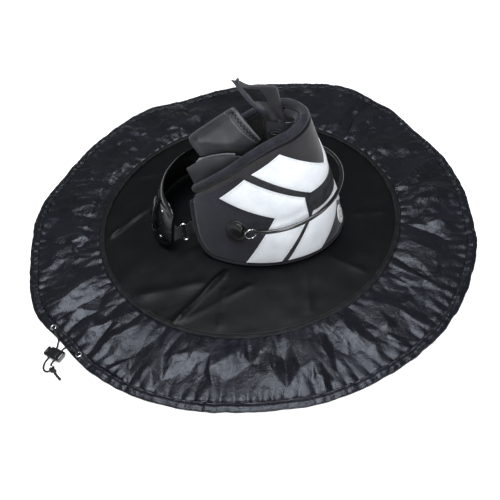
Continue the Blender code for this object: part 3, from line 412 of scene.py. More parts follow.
def make_looks():
    looks = {}

    def start(name, **sockets):
        looks[name] = Surface(name, **sockets)
        return looks[name]

    s = start("tarpaulin", Specular_IOR_Level=0.16)
    broad = s.noise(4.0, 3.0, 0.6, 0.6)
    s.color(s.ramp(broad, 0.35, 0.7), rgb(4, 5, 6), rgb(9, 10, 12))
    s.roughness(s.noise(9.0, 4.0, 0.6, 0.4), 0.3, 0.7, 0.30, 0.44)
    s.bump(s.noise(16.0, 4.0, 0.5, 0.8), 0.004, 0.25)
    s.bump(s.math("MULTIPLY", s.bands(420.0, "X"), s.bands(420.0, "Y")), 0.0002, 0.25)

    s = start("skirt_nylon", Specular_IOR_Level=0.42, Specular_Tint=(0.86, 0.90, 1.0, 1.0))
    s.color(s.ramp(s.noise(7.0, 3.0, 0.6, 1.0), 0.35, 0.68), rgb(6, 7, 12), rgb(15, 16, 24))
    s.roughness(s.noise(30.0, 3.0), 0.3, 0.7, 0.22, 0.36)
    s.bump(s.noise(60.0, 4.0, 0.6, 1.8), 0.0022, 0.35)
    s.bump(s.noise(150.0, 4.0, 0.6, 1.2), 0.0012, 0.40)
    s.bump(s.math("MULTIPLY", s.bands(560.0, "X"), s.bands(560.0, "Y")), 0.00012, 0.2)

    s = start("seam_band", Specular_IOR_Level=0.22)
    s.color(s.ramp(s.noise(22.0, 3.0), 0.35, 0.7), rgb(5, 6, 7), rgb(13, 14, 17))
    s.roughness(s.noise(60.0), 0.3, 0.7, 0.46, 0.64)
    s.bump(s.noise(150.0, 4.0, 0.6, 0.8), 0.0015, 0.5)

    s = start("cord", Specular_IOR_Level=0.35)
    s.color(s.ramp(s.noise(900.0, 2.0), 0.35, 0.65), rgb(14, 14, 14), rgb(34, 34, 36))
    s.roughness(s.noise(500.0), 0.3, 0.7, 0.55, 0.75)
    s.bump(s.math("MULTIPLY", s.bands(380.0, "DIAGONAL"), s.bands(420.0, "X")), 0.0004, 0.8)

    s = start("bright_steel", Metallic=1.0)
    s.color(s.ramp(s.noise(120.0, 3.0), 0.35, 0.7), rgb(196, 198, 202), rgb(228, 229, 231))
    s.roughness(s.noise(240.0, 4.0, 0.6, 0.0, s.stretched((1.0, 1.0, 9.0))), 0.3, 0.7, 0.16, 0.30)

    s = start("gloss_black", Specular_IOR_Level=0.55, Coat_Weight=0.5, Coat_Roughness=0.06)
    s.color(s.ramp(s.noise(60.0, 3.0), 0.4, 0.7), rgb(8, 8, 9), rgb(16, 16, 18))
    s.roughness(s.noise(320.0, 4.0), 0.35, 0.75, 0.12, 0.24)
    s.bump(s.noise(90.0, 2.0), 0.0003, 0.25)

    for name, dark, light in (
        ("neoprene", (26, 26, 34), (38, 38, 49)), ("charcoal", (34, 33, 36), (48, 46, 50)),
        ("lining", (20, 20, 23), (34, 34, 39)),
    ):
        s = start(name, Specular_IOR_Level=0.18, Sheen_Weight=0.25, Sheen_Roughness=0.5)
        s.color(s.ramp(s.noise(26.0, 4.0, 0.6), 0.3, 0.72), rgb(*dark), rgb(*light))
        s.roughness(s.noise(90.0, 3.0), 0.3, 0.7, 0.72, 0.9)
        s.bump(s.noise(34.0, 3.0, 0.5, 0.3), 0.0016, 0.35)
        s.bump(s.math("MULTIPLY", s.bands(330.0, "Z"), s.bands(300.0, "DIAGONAL")), 0.0003, 0.45)

    s = start("binding", Specular_IOR_Level=0.2, Sheen_Weight=0.15, Sheen_Roughness=0.45)
    s.color(s.ramp(s.noise(40.0, 4.0), 0.3, 0.72), rgb(25, 25, 32), rgb(38, 38, 47))
    s.roughness(s.noise(120.0), 0.3, 0.7, 0.66, 0.85)
    s.bump(s.noise(70.0, 3.0, 0.5, 0.5), 0.0014, 0.4)
    s.bump(s.bands(420.0, "DIAGONAL"), 0.0003, 0.5)

    for name, dark, light in (
        ("white_panel", (212, 217, 223), (232, 236, 241)), ("badge_white", (232, 234, 237), (248, 249, 250)),
    ):
        s = start(name, Specular_IOR_Level=0.4)
        s.color(s.ramp(s.noise(18.0, 5.0, 0.65), 0.3, 0.62), rgb(*dark), rgb(*light))
        s.roughness(s.noise(70.0, 4.0), 0.3, 0.7, 0.36, 0.5)
        s.bump(s.cells(620.0), 0.0004, 0.22)
        s.bump(s.noise(30.0, 3.0, 0.5, 0.6), 0.0012, 0.25)

    s = start("dark_tape", Specular_IOR_Level=0.2)
    s.color(s.ramp(s.noise(70.0, 4.0), 0.3, 0.7), rgb(34, 35, 38), rgb(54, 55, 59))
    s.roughness(s.noise(130.0), 0.3, 0.7, 0.66, 0.82)
    s.bump(s.bands(300.0, "Z"), 0.0004, 0.5)
    s.bump(s.bands(300.0, "X"), 0.0004, 0.4)

    s = start("rubber", Specular_IOR_Level=0.5)
    s.color(s.ramp(s.noise(80.0, 4.0), 0.3, 0.7), rgb(18, 18, 19), rgb(30, 30, 33))
    s.roughness(s.noise(120.0), 0.3, 0.7, 0.28, 0.42)
    s.bump(s.noise(700.0, 3.0), 0.0002, 0.5)

    # Tones of one smooth-skin neoprene. The first has its base colour raised to paint the sheen on the near flap's
    # bulge, and the third is a lit copy that paints highlight on folds, lips and edges; the other two are plain
    # tones.
    for name, dark, light in (
        ("smooth_skin", (50, 51, 55), (70, 71, 76)), ("skin_edge", (24, 25, 36), (40, 41, 56)),
        ("skin_painted_highlight", (84, 84, 88), (108, 108, 112)), ("dark_skin", (38, 38, 42), (54, 54, 59)),
    ):
        s = start(name, Specular_IOR_Level=0.42, Sheen_Weight=0.08)
        s.color(s.ramp(s.noise(20.0, 5.0, 0.6, 0.4), 0.3, 0.72), rgb(*dark), rgb(*light))
        s.roughness(s.noise(45.0, 4.0), 0.3, 0.7, 0.28, 0.42)
        s.bump(s.noise(24.0, 3.0, 0.5, 0.5), 0.002, 0.3)
        s.bump(s.cells(900.0), 0.0002, 0.3)

    for name, dark, light in (
        ("thread", (8, 8, 9), (20, 20, 22)), ("grey_thread", (40, 41, 44), (62, 63, 68)),
        ("light_thread", (120, 122, 128), (170, 172, 178)),
    ):
        s = start(name, Specular_IOR_Level=0.3)
        s.color(s.ramp(s.noise(800.0, 2.0), 0.3, 0.7), rgb(*dark), rgb(*light))
        s.roughness(s.noise(500.0), 0.3, 0.7, 0.5, 0.7)
        s.bump(s.bands(900.0, "DIAGONAL"), 0.0001, 0.6)

    s = start("hook_loop", Specular_IOR_Level=0.12, Sheen_Weight=0.15)
    s.color(s.ramp(s.noise(420.0, 3.0, 0.7), 0.35, 0.7), rgb(9, 9, 11), rgb(26, 26, 31))
    s.roughness(s.noise(300.0), 0.3, 0.7, 0.85, 1.0)
    s.bump(s.cells(650.0), 0.0010, 1.0)

    s = start("gloss_pad", Specular_IOR_Level=0.5, Coat_Weight=0.25, Coat_Roughness=0.15)
    s.color(s.ramp(s.noise(24.0, 4.0), 0.35, 0.7), rgb(7, 7, 8), rgb(15, 15, 17))
    s.roughness(s.noise(60.0, 4.0), 0.3, 0.7, 0.20, 0.34)
    s.bump(s.noise(50.0, 3.0, 0.5, 0.6), 0.0014, 0.4)

    s = start("webbing", Specular_IOR_Level=0.3)
    weave = s.math("MULTIPLY", s.bands(210.0, "Z"), s.bands(240.0, "Y"))
    s.color(s.ramp(weave, 0.1, 0.8), rgb(38, 40, 42), rgb(66, 69, 71))
    s.roughness(s.noise(200.0), 0.3, 0.7, 0.5, 0.7)
    s.bump(weave, 0.0005, 0.9)

    s = start("badge_ring", Specular_IOR_Level=0.3)
    s.color(s.ramp(s.noise(90.0), 0.3, 0.7), rgb(22, 23, 27), rgb(36, 37, 42))
    s.roughness(s.noise(150.0), 0.3, 0.7, 0.45, 0.6)

    s = start("floor", Specular_IOR_Level=0.0, Emission_Color=(1.0, 1.0, 1.0, 1.0), Emission_Strength=0.55)
    s.color(s.ramp(s.noise(1.5), 0.3, 0.7), (0.93, 0.93, 0.93, 1.0), (0.95, 0.95, 0.95, 1.0))
    s.roughness(s.noise(8.0), 0.3, 0.7, 0.9, 1.0)
    return {name: made.material for name, made in looks.items()}


LOOKS = make_looks()


# ================= camera, light and floor =================


def make_camera():
    right = Vector((0.250, -0.965, -0.091)).normalized()
    ahead = Vector((0.629, 0.233, -0.742)).normalized()
    right = (right - ahead * right.dot(ahead)).normalized()
    above = right.cross(ahead)
    lens = bpy.data.cameras.new("camera")
    lens.lens = 48.8
    lens.sensor_width = 36.0
    lens.clip_end = 50.0
    camera = bpy.data.objects.new("camera", lens)
    camera.matrix_world = Matrix((
        (right.x, above.x, -ahead.x, -1.030), (right.y, above.y, -ahead.y, -0.375),
        (right.z, above.z, -ahead.z, 1.094), (0, 0, 0, 1),
    ))
    bpy.context.scene.collection.objects.link(camera)
    bpy.context.scene.camera = camera


def lamp(name, place, aim, size, power, tint=(1.0, 1.0, 1.0)):
    light = bpy.data.lights.new(name, "AREA")
    light.shape = "DISK"
    light.size = size
    light.energy = power
    light.color = tint
    holder = bpy.data.objects.new(name, light)
    holder.location = place
    holder.rotation_euler = (Vector(aim) - Vector(place)).to_track_quat("-Z", "Y").to_euler()
    bpy.context.scene.collection.objects.link(holder)


def make_studio():
    scene = bpy.context.scene
    scene.view_settings.view_transform = "Standard"
    world = bpy.data.worlds.new("world")
    world.use_nodes = True
    world.node_tree.nodes["Background"].inputs["Color"].default_value = (0.97, 0.985, 1.0, 1.0)
    world.node_tree.nodes["Background"].inputs["Strength"].default_value = 0.20
    scene.world = world
    lamp("above", (0.0, 0.2, 2.6), (0.0, 0.0, 0.0), 1.8, 66.0, (0.94, 0.97, 1.0))
    lamp("fill", (-2.2, -0.7, 1.7), (0.0, 0.0, 0.15), 1.1, 34.0)
    lamp("side", (-0.5, -2.2, 1.3), (0.0, 0.0, 0.1), 1.0, 11.0)
    mesh = bpy.data.meshes.new("studio_floor")
    wide, low = 40.0, -0.0008
    corners = [(-wide, -wide, low), (wide, -wide, low), (wide, wide, low), (-wide, wide, low)]
    mesh.from_pydata(corners, [], [(0, 1, 2, 3)])
    mesh.materials.append(LOOKS["floor"])
    floor = bpy.data.objects.new("studio_floor", mesh)
    bpy.context.scene.collection.objects.link(floor)


make_camera()
make_studio()


# ================= cords and lock =================


def hem_radius(angle):
    """Outer radius of the hem in a direction in degrees, on a smooth periodic curve."""
    angles = np.array([a + turn for turn in (-360, 0, 360) for a, _ in HEM_OUTLINE], float)
    radii = np.array([r for _ in range(3) for _, r in HEM_OUTLINE])
    spot = np.clip(np.searchsorted(angles, angle, side="right") - 1, 0, len(angles) - 2)
    t = (angle - angles[spot]) / (angles[spot + 1] - angles[spot])
    return radii[spot] + (radii[spot + 1] - radii[spot]) * ease(t)


def around(angle, radius, height):
    turn = np.radians(angle)
    return np.stack(np.broadcast_arrays(radius * np.cos(turn), radius * np.sin(turn), height), axis=-1)


def lock_point(out, side, up=0.0):
    """Point in the cord lock's own directions."""
    return LOCK + LOCK_OUT * out + LOCK_SIDE * side + UP * up


def free_cord(number, rest, count):
    angle = EYELETS[number]
    place = around(angle, hem_radius(angle) - HEM_WIDTH / 2, HEM_HEIGHT)
    towards = unit((lock_point(*rest[0]) - place) * (1, 1, 0))
    turn = np.radians([0, 35, 70, 100])[:, None]
    start = place - UP * 0.0005 + (towards * (1 - np.cos(turn)) + UP * np.sin(turn)) * CORD_BEND
    line = smooth_line([*start, *[lock_point(*p) for p in rest]], count)
    local = line - lock_point(*KNOT)
    reach = CORD + 0.0005
    scaled = np.stack([
        local @ LOCK_OUT / (KNOT_RADII[0] * 1.1 + reach), local @ LOCK_SIDE / (KNOT_RADII[1] + reach),
        local[:, 2] / (KNOT_RADII[2] * 1.1 + reach),
    ])
    outside = (scaled**2).sum(0) > 1.0
    outside[: len(line) // 2] = True
    last = int(np.argmin(outside)) if not outside.all() else len(line)
    return line[: last + 1]


def cord_curve(name, line, radius, node):
    """Free cord as a curve of one open spline."""
    curve = bpy.data.curves.new(name, "CURVE")
    curve.dimensions = "3D"
    curve.bevel_depth = radius
    curve.bevel_resolution = 4
    curve.use_fill_caps = True
    spline = curve.splines.new("POLY")
    spline.points.add(len(line) - 1)
    for place, point in zip(spline.points, line):
        place.co = (*point, 1.0)
    spline.use_smooth = True
    curve.materials.append(LOOKS["cord"])
    piece = bpy.data.objects.new(name, curve)
    bpy.context.scene.collection.objects.link(piece)
    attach(piece, "mat")
    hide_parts(node)
    return piece


def barrel_loop(side, depth, height, sides=48, power=0.55):
    """Rounded outline across the lock at a place along the button's direction."""
    turn = np.linspace(0, 2 * np.pi, sides, endpoint=False)
    c, s = np.cos(turn), np.sin(turn)
    out = depth * np.sign(c) * abs(c) ** power
    up = height * np.sign(s) * abs(s) ** power
    return LOCK + LOCK_OUT * out[:, None] + LOCK_SIDE * side + UP * up[:, None]


def make_lock():
    stations = [(-0.0190, 0.55), (-0.01895, 0.74), (-0.0186, 0.84), (-0.0178, 0.92), (-0.0160, 0.97),
                (-0.0120, 0.985), (-0.0104, 0.95), (-0.0092, 0.95), (-0.0080, 0.99), (-0.0030, 1.0), (0.0040, 0.99),
                (0.0060, 0.95), (0.0072, 0.95), (0.0086, 0.985), (0.0112, 0.965), (0.0126, 0.92), (0.0133, 0.85),
                (0.0135, 0.70), (0.0130, 0.66)]
    loft("lock_body", [barrel_loop(s, 0.0120 * k, 0.0062 * k) for s, k in stations], "gloss_black",
         "cord_lock", "lock_barrel")
    stem = [(-0.0110, 0.0060, 0.0026), (0.0172, 0.0066, 0.0031), (0.01725, 0.0086, 0.0044), (0.0176, 0.0098, 0.0051),
            (0.0184, 0.0101, 0.0053), (0.0198, 0.0100, 0.0052), (0.0208, 0.0094, 0.0048), (0.0214, 0.0084, 0.0040),
            (0.0215, 0.0060, 0.0026)]
    loft("lock_button", [barrel_loop(*p) for p in stem], "gloss_black", "lock_button", "lock_plunger")
    share = np.linspace(0, 1, 97)
    turn = 2 * np.pi * SPRING_TURNS * share
    side = SPRING_ENDS[0] + (SPRING_ENDS[1] - SPRING_ENDS[0]) * share
    line = (LOCK + LOCK_SIDE * side[:, None] + LOCK_OUT * (SPRING_RADIUS * np.cos(turn))[:, None]
            + UP * (SPRING_RADIUS * np.sin(turn))[:, None])
    spring = bar("spring_coil", line, SPRING_WIRE, "bright_steel", "cord_lock", "lock_spring", sides=8)
    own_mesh(spring)
    turn = np.linspace(0, 2 * np.pi, 20, endpoint=False)[:, None]
    lip = LOCK_SIDE * (LIP_RADIUS * np.cos(turn)) + UP * (LIP_RADIUS * np.sin(turn))
    for number, side in enumerate(HOLES):
        for end, word in ((-LIP_AT, "in"), (LIP_AT, "out")):
            bar("lock_lip_%d_%s" % (number, word), lock_point(end, side) + lip, 0.0005, "gloss_black", "cord_lock",
                closed=True, sides=8)


def make_cords():
    side = HOLES[0]
    loop = free_cord(0, [
        (-0.030, 0.014, 0.0035), (-0.021, 0.0085, 0.0025), (-0.0135, side, 0.0), (0.0, side, 0.0),
        (0.0135, side, 0.0), (0.0215, side + 0.0002, -0.0005), (0.0280, 0.0060, -0.0030),
        (0.0340, 0.0030, -0.0050), (0.0368, -0.0030, -0.0055), (0.0358, -0.0090, -0.0050),
        (0.0325, -0.0138, -0.0035),
    ], 110)
    side = HOLES[1]
    short = free_cord(1, [
        (-0.020, -0.0145, 0.0040), (-0.0135, side, 0.0005), (0.0, side, 0.0), (0.0135, side, 0.0),
        (0.0215, side - 0.0003, 0.0), (0.0245, -0.0115, -0.0008),
    ], 90)
    loop_cord = cord_curve("cord_loop", loop, CORD, "drawcord_loop")
    short_cord = cord_curve("cord_short", short, CORD, "drawcord_short")
    # the knot: a three-lobed tangle inside the CAD knot's oval
    turn = np.linspace(0, 2 * np.pi, 90, endpoint=False)
    local = np.stack([
        np.sin(turn) + 2 * np.sin(2 * turn), np.cos(turn) - 2 * np.cos(2 * turn), -np.sin(3 * turn),
    ], 1)
    local *= (np.array(KNOT_RADII) - 0.0021) / abs(local).max(0)
    line = lock_point(*KNOT) + local[:, :1] * LOCK_OUT + local[:, 1:2] * LOCK_SIDE + local[:, 2:] * UP
    knot = bar("knot_tangle", line, 0.0021, "cord", "mat", "cord_knot", closed=True, sides=14)
    core = barrel_core()
    inside_knot = (KNOT[0], KNOT[1] - 0.004, KNOT[2])
    tail_line = smooth_line([lock_point(*p) for p in (inside_knot, *TAIL)], 30)
    swell = 1.0 + 0.12 * ease((np.arange(30) - 24) / 5)
    tail = bar("knot_tail", tail_line, CORD * 1.3 * swell, "cord", "mat", "cord_tail", sides=14)
    angles = np.linspace(EYELETS[1] + 0.6, EYELETS[0] + 359.4, 500)
    held = around(angles, hem_radius((angles + 180) % 360 - 180) - HEM_WIDTH / 2, HEM_HEIGHT / 2)
    bar("cord_in_hem", held, CORD, "cord", "mat", "drawcord_in_hem", sides=8)


def barrel_core():
    """Filling that closes the middle of the knot."""
    sections = []
    for t in np.radians(np.linspace(6, 174, 12)):
        turn = np.linspace(0, 2 * np.pi, 20, endpoint=False)[:, None]
        sections.append(
            lock_point(KNOT[0], KNOT[1] + 0.0050 * math.cos(t), KNOT[2])
            + (LOCK_OUT * np.cos(turn) * 0.0040 + UP * np.sin(turn) * 0.0036) * math.sin(t))
    return loft("knot_core", sections, "cord", "mat")


make_cords()
make_lock()


# ================= mat =================


CREASES = [  # straight folds in the base: two ends, height and width
    ((-0.172, 0.005), (-0.324, 0.071), 0.0076, 0.0062), ((-0.120, 0.292), (-0.010, 0.231), 0.0046, 0.005),
    ((-0.275, 0.179), (-0.213, 0.047), 0.0030, 0.015), ((-0.222, -0.006), (-0.317, -0.024), 0.0016, 0.007),
    ((-0.314, 0.120), (-0.320, 0.072), 0.0034, 0.006), ((-0.318, 0.060), (-0.201, -0.057), 0.0014, 0.008),
    ((-0.039, 0.251), (-0.114, 0.287), 0.0022, 0.006), ((-0.240, -0.190), (-0.130, -0.160), 0.0014, 0.009),
    ((0.080, 0.300), (0.130, 0.200), 0.0022, 0.010), ((0.200, 0.120), (0.290, 0.140), 0.0020, 0.009),
    ((0.190, -0.100), (0.300, -0.080), 0.0018, 0.010), ((0.060, -0.300), (0.040, -0.235), 0.0018, 0.009),
    ((-0.120, -0.280), (-0.090, -0.200), 0.0016, 0.008),
]


def base_height(points):
    """Height of the base's upper face: broad waves and straight creases, flat under the harness."""
    x, y = points[..., 0], points[..., 1]
    reach = np.hypot(x / (HALF_WAIST + 0.004), (y - WAIST_Y) / (HALF_DEPTH + 0.004))
    front = np.hypot(x / (PAD_HALF_X + 0.004), (y - PAD_CENTRE_Y) / (PAD_HALF_Y + 0.004))
    free = ease((np.minimum(reach, front) - 1.0) / 0.28)
    edge = ease((SEAM_INNER - np.hypot(x, y)) / 0.02)
    height = 0.0016 + 0.0016 * rough(points, 9.0, 3) + 0.0008 * rough(points, 24.0, 5)
    for (ax, ay), (bx, by), high, wide in CREASES:
        span = np.array([bx - ax, by - ay])
        share = ((x - ax) * span[0] + (y - ay) * span[1]) / (span @ span)
        held = np.clip(share, 0, 1)
        away = np.hypot(x - ax - held * span[0], y - ay - held * span[1]) / wide
        height = height + high * np.exp(-away**1.6) * (0.75 + 0.25 * np.sin(share * 9))
    return 0.0014 + np.maximum(height - 0.0014, -0.0003) * free * (0.35 + 0.65 * edge)


def make_base():
    rings = np.concatenate([np.linspace(0.002, 0.12, 16), np.linspace(0.13, SEAM_INNER + 0.003, 84)])
    turns = np.arange(0, 360, 0.75)
    flat = around(turns[:, None], rings[None, :], 0.0)
    top = flat.copy()
    top[..., 2] = base_height(flat)
    low = flat.copy()
    low[..., 2] = 0.0002
    piece = slab("base_sheet", top, low, "tarpaulin", "mat", "base_disc", wrap=True)
    closing = bmesh.new()
    closing.from_mesh(piece.data)
    bmesh.ops.holes_fill(closing, edges=[e for e in closing.edges if e.is_boundary])
    closing.to_mesh(piece.data)
    closing.free()


def seam_lift(angle):
    """The seam band's own slow waves."""
    places = around(angle, 1.0, 0.0)
    return 0.0011 * rough(places, 4.0, 11) + 0.0007 * rough(places, 17.0, 12)


def under_pad(angle):
    """1 where the front pad swings over the seam, in a direction in degrees, and 0 elsewhere."""
    return np.exp(-(((angle - PAD_SECTOR[0]) / PAD_SECTOR[1]) ** 4))


def make_seam():
    turns = np.arange(0, 360, 0.6)
    shares = np.array([
        -1.0, -0.97, -0.88, -0.72, -0.62, -0.52, -0.2, 0.1, 0.42, 0.52, 0.62, 0.80, 0.93, 0.985, 1.0,
    ])
    middle, half = (SEAM_INNER + SEAM_OUTER) / 2, (SEAM_OUTER - SEAM_INNER) / 2 + 0.0006
    wave = (seam_lift(turns) * (1 - 0.8 * under_pad(turns)))[:, None]
    dip = -0.0007 * (np.exp(-((abs(shares) - 0.62) / 0.07) ** 2)) - 0.0014 * ease((abs(shares) - 0.86) / 0.14)
    puff = 0.0008 * rough(around(turns[:, None], middle + half * shares, 0.0), 90.0, 13)
    high = SEAM_HEIGHT + 0.0009 + wave + dip + puff
    top = around(turns[:, None], middle + half * shares + 0.3 * wave, np.maximum(high, 0.0012))
    low = around(turns[:, None], middle + half * shares + 0.3 * wave, 0.0002)
    slab("seam_felled", top, low, "seam_band", "mat", "seam_tape", wrap=True)
    rows = []
    for share in (-0.62, 0.56):
        line = around(turns, middle + half * share + 0.3 * wave[:, 0], SEAM_HEIGHT + 0.0003 + wave[:, 0])
        line = np.concatenate([line, line[:1]])
        rows.append((line, np.tile(UP, (len(line), 1))))
    add_stitches("seam_stitching", rows, "grey_thread", "mat", pitch=0.0050, length=0.0031, width=0.0009,
                 rise=0.0005)


def hem_wave(angle):
    """How far the hem rises, and how far its middle moves outwards, in a direction in degrees."""
    places = around(angle, 0.5, 0.0)
    hump = 0.0055 * np.exp(-((((angle + 180) % 360 - 180) + 17) / 9.0) ** 2)
    rise = 0.0012 * (1 + rough(places, 11.0, 21)) + hump
    calm = 1 - np.exp(-(((angle % 360) - 146.5) / 9.0) ** 2)
    shift = 0.0016 * rough(places, 26.0, 22) + 0.0012 * rough(places, 60.0, 23)
    return rise * calm, shift * calm


def flat_facets(angle, radius, cell, stretch, seed):
    """Height, 0 to 1, of a net of random flat triangles; stretch makes them longer across the skirt."""
    chance = np.random.default_rng(seed)
    length = 2 * math.pi * 0.42 * stretch
    columns, rows = round(length / cell), math.ceil(0.22 / cell) + 2
    x = (np.arange(columns)[:, None] + chance.uniform(-0.45, 0.45, (columns, rows))) * length / columns
    y = 0.32 + (np.arange(rows)[None, :] - 1 + chance.uniform(-0.45, 0.45, (columns, rows))) * cell
    z = chance.uniform(0, 1, (columns, rows)) ** 1.3
    net = np.concatenate([np.stack([x + shift, y, z], -1).reshape(-1, 3) for shift in (-length, 0.0, length)])
    net = net[(net[:, 0] > -3 * cell) & (net[:, 0] < length + 3 * cell)]
    found = delaunay_2d_cdt([Vector(p[:2]) for p in net], [], [], 0, 1e-9)
    corners = [Vector((*place, net[source[0]][2])) for place, source in zip(found[0], found[3])]
    tree = BVHTree.FromPolygons(corners, found[2])
    down = Vector((0.0, 0.0, -1.0))
    across = np.radians(angle % 360) * 0.42 * stretch
    hits = [tree.ray_cast(Vector((a, r, 5.0)), down)[0] for a, r in zip(across.ravel(), radius.ravel())]
    return np.array([hit.z if hit else 0.0 for hit in hits]).reshape(radius.shape)


def skirt_height(flat, share, angle):
    """The nylon's upper face: flat facets between creases, and gathers; share runs from seam to hem."""
    radius = np.hypot(flat[..., 0], flat[..., 1])
    bend = 1.2 * rough(flat, 10.0, 31)
    wander = 0.002 * rough(flat, 30.0, 33)
    big = flat_facets(angle + bend, radius, cell=0.062, stretch=1.9, seed=35)
    middle = flat_facets(angle - bend, radius, cell=0.021, stretch=1.35, seed=36)
    small = flat_facets(angle, radius + wander, cell=0.011, stretch=1.1, seed=37)
    broad = 0.5 + 0.5 * rough(flat, 8.0, 38)
    patchy = ease(0.5 + 1.3 * rough(flat, 13.0, 40))
    body = np.sin(np.pi * np.clip(share, 0.0, 1.0)) ** 0.5
    crumple = (0.0155 * big * (0.45 + 0.8 * broad) + 0.0040 * middle * (0.35 + 0.8 * patchy)
               + 0.0013 * small * patchy)
    phase = 3.0 * rough(flat, 9.0, 39)
    inner = np.exp(-share / 0.12) * abs(np.sin(np.radians(angle) * 46 + phase)) * 0.0026
    outer = np.exp(-(1 - share) / 0.12) * abs(np.sin(np.radians(angle) * 61 - phase)) * 0.0034
    near_pad = under_pad(angle) * (1 - ease((share - 0.10) / 0.14))
    return 0.0010 + (crumple * (0.12 + 0.88 * body) + inner) * (1 - 0.80 * near_pad) + outer


def make_skirt():
    turns = np.arange(0, 360, 0.33333)
    shares = np.linspace(0, 1, 60)
    rise, shift = hem_wave(turns)
    inner = SEAM_OUTER - 0.0015
    outer = hem_radius((turns + 180) % 360 - 180) - HEM_WIDTH + 0.0015 + shift
    radius = inner + (outer - inner)[:, None] * shares[None, :]
    flat = around(turns[:, None], radius, 0.0)
    angle, share = np.broadcast_arrays(turns[:, None], shares[None, :])
    height = skirt_height(flat, share, angle)
    height = height + seam_lift(turns)[:, None] * (1 - ease(share * 4)) + rise[:, None] * ease(share * 2 - 1)
    top = flat.copy()
    top[..., 2] = height
    low = flat.copy()
    low[..., 2] = np.maximum(height - 0.0006, 0.0002)
    skirt = slab("skirt_cloth", top, low, "skirt_nylon", "mat", "skirt", wrap=True)
    return skirt


def make_hem():
    turns = np.arange(0, 360, 0.33333)
    rise, shift = hem_wave(turns)
    middle = hem_radius((turns + 180) % 360 - 180) - HEM_WIDTH / 2 + shift
    places = around(turns, middle, 0.0)
    half = HEM_WIDTH / 2 * (1 + 0.06 * rough(places, 34.0, 41))
    tall = HEM_HEIGHT * (0.92 + 0.20 * rough(places, 55.0, 42) + 0.14 * rough(places, 140.0, 43))
    around_it = np.radians(np.linspace(0, 360, 30, endpoint=False))
    c, s = np.cos(around_it), np.sin(around_it)
    wide = np.sign(c) * abs(c) ** 0.8
    profile = np.where(s > 0, abs(s) ** 0.75, -abs(s) ** 0.5)
    ridge = 0.0011 * np.exp(-((wide - 0.08) / 0.22) ** 2) * (s > 0)
    groove = -0.0010 * np.exp(-((wide + 0.62) / 0.09) ** 2) * (s > 0)
    pucker = rough(around(turns[:, None], middle[:, None] + wide[None, :] * 0.01, 0.0), 120.0, 44)
    up = (tall[:, None] / 2) * (1 + profile[None, :]) + (ridge + groove)[None, :]
    up = up + 0.0008 * pucker * (s > 0.2)[None, :]
    up = np.maximum(up, 0.0) + rise[:, None] + 0.0001
    sections = around(turns[:, None], middle[:, None] + half[:, None] * wide[None, :], up)
    hem = loft("hem_roll", sections, "skirt_nylon", "mat", "hem_casing", closed=True)
    line = around(turns, middle - 0.62 * half, 0.0)
    line[:, 2] = tall * 0.93 + rise - 0.0004
    line = np.concatenate([line, line[:1]])
    thread = add_stitches("hem_stitching", [(line, np.tile(UP, (len(line), 1)))], "grey_thread", "mat",
                          pitch=0.0048, length=0.0028, width=0.0007, rise=0.0004)
    for number, angle in enumerate(EYELETS):
        centre = around(angle, hem_radius(angle) - HEM_WIDTH / 2, HEM_HEIGHT + 0.0014)
        turn = np.linspace(0, 2 * np.pi, 48, endpoint=False)[:, None]
        ring = centre + 0.00495 * np.concatenate([np.cos(turn), np.sin(turn), 0 * turn], axis=1)
        name = "ab"[number]
        bar("eyelet_ring_" + name, ring, 0.00155, "bright_steel", "mat", "eyelet_" + name, closed=True,
            flat=0.7)
    return hem, thread


make_base()
make_seam()
SKIRT = make_skirt()
HEM = make_hem()


# ================= harness surface =================


TURNS = np.linspace(0, math.radians(170), 1500)
WALKED = np.concatenate([[0.0], np.cumsum(np.hypot(
    np.diff(HALF_WAIST * np.sin(TURNS)), np.diff(-HALF_DEPTH * np.cos(TURNS))))])


def outward(u):
    """The level direction straight out of the shell at u."""
    turn = np.interp(np.abs(u), WALKED, TURNS) * np.sign(u)
    return unit(np.stack([HALF_DEPTH * np.sin(turn), -HALF_WAIST * np.cos(turn), 0 * turn], axis=-1))


def on_shell(u, z, off=0.0):
    u, z, off = np.broadcast_arrays(np.asarray(u, float), np.asarray(z, float), np.asarray(off, float))
    turn = np.interp(np.abs(u), WALKED, TURNS) * np.sign(u)
    foot = np.stack([HALF_WAIST * np.sin(turn), WAIST_Y - HALF_DEPTH * np.cos(turn), z], axis=-1)
    lean = 0.067 * (np.maximum(z, 0.0) / 0.28) ** 1.1
    return foot + outward(u) * (off - lean)[..., None]


def inset(outline, distance):
    """An outline moved inwards, corner by corner."""
    points = np.array(outline, float)
    after = np.roll(points, -1, axis=0)
    turning = np.sign((points[:, 0] * after[:, 1] - after[:, 0] * points[:, 1]).sum())
    edge = unit(after - points)
    inward = np.stack([-edge[:, 1], edge[:, 0]], axis=1) * turning
    before = np.roll(inward, 1, axis=0)
    both = inward + before
    return points + both * (distance / np.maximum(1 + (inward * before).sum(1), 0.35))[:, None]


def walked(outline, counts):
    after = np.roll(outline, -1, axis=0)
    return np.concatenate([
        a + (b - a) * (np.arange(n) / n)[:, None] for a, b, n in zip(outline, after, counts)
    ])


def from_edge(places, outline):
    """How far places in (u, z) are from an outline, and which lie inside it."""
    a = np.array(outline, float)
    b = np.roll(a, -1, axis=0)
    span = b - a
    near = np.full(len(places), np.inf)
    within = np.zeros(len(places), bool)
    for start, step, end in zip(a, span, b):
        share = np.clip((places - start) @ step / max(step @ step, 1e-12), 0, 1)
        near = np.minimum(near, np.linalg.norm(places - start - share[:, None] * step, axis=1))
        if start[1] != end[1]:
            crosses = (start[1] > places[:, 1]) != (end[1] > places[:, 1])
            within ^= crosses & (places[:, 0] < start[0] + (places[:, 1] - start[1]) / step[1] * step[0])
    return near, within


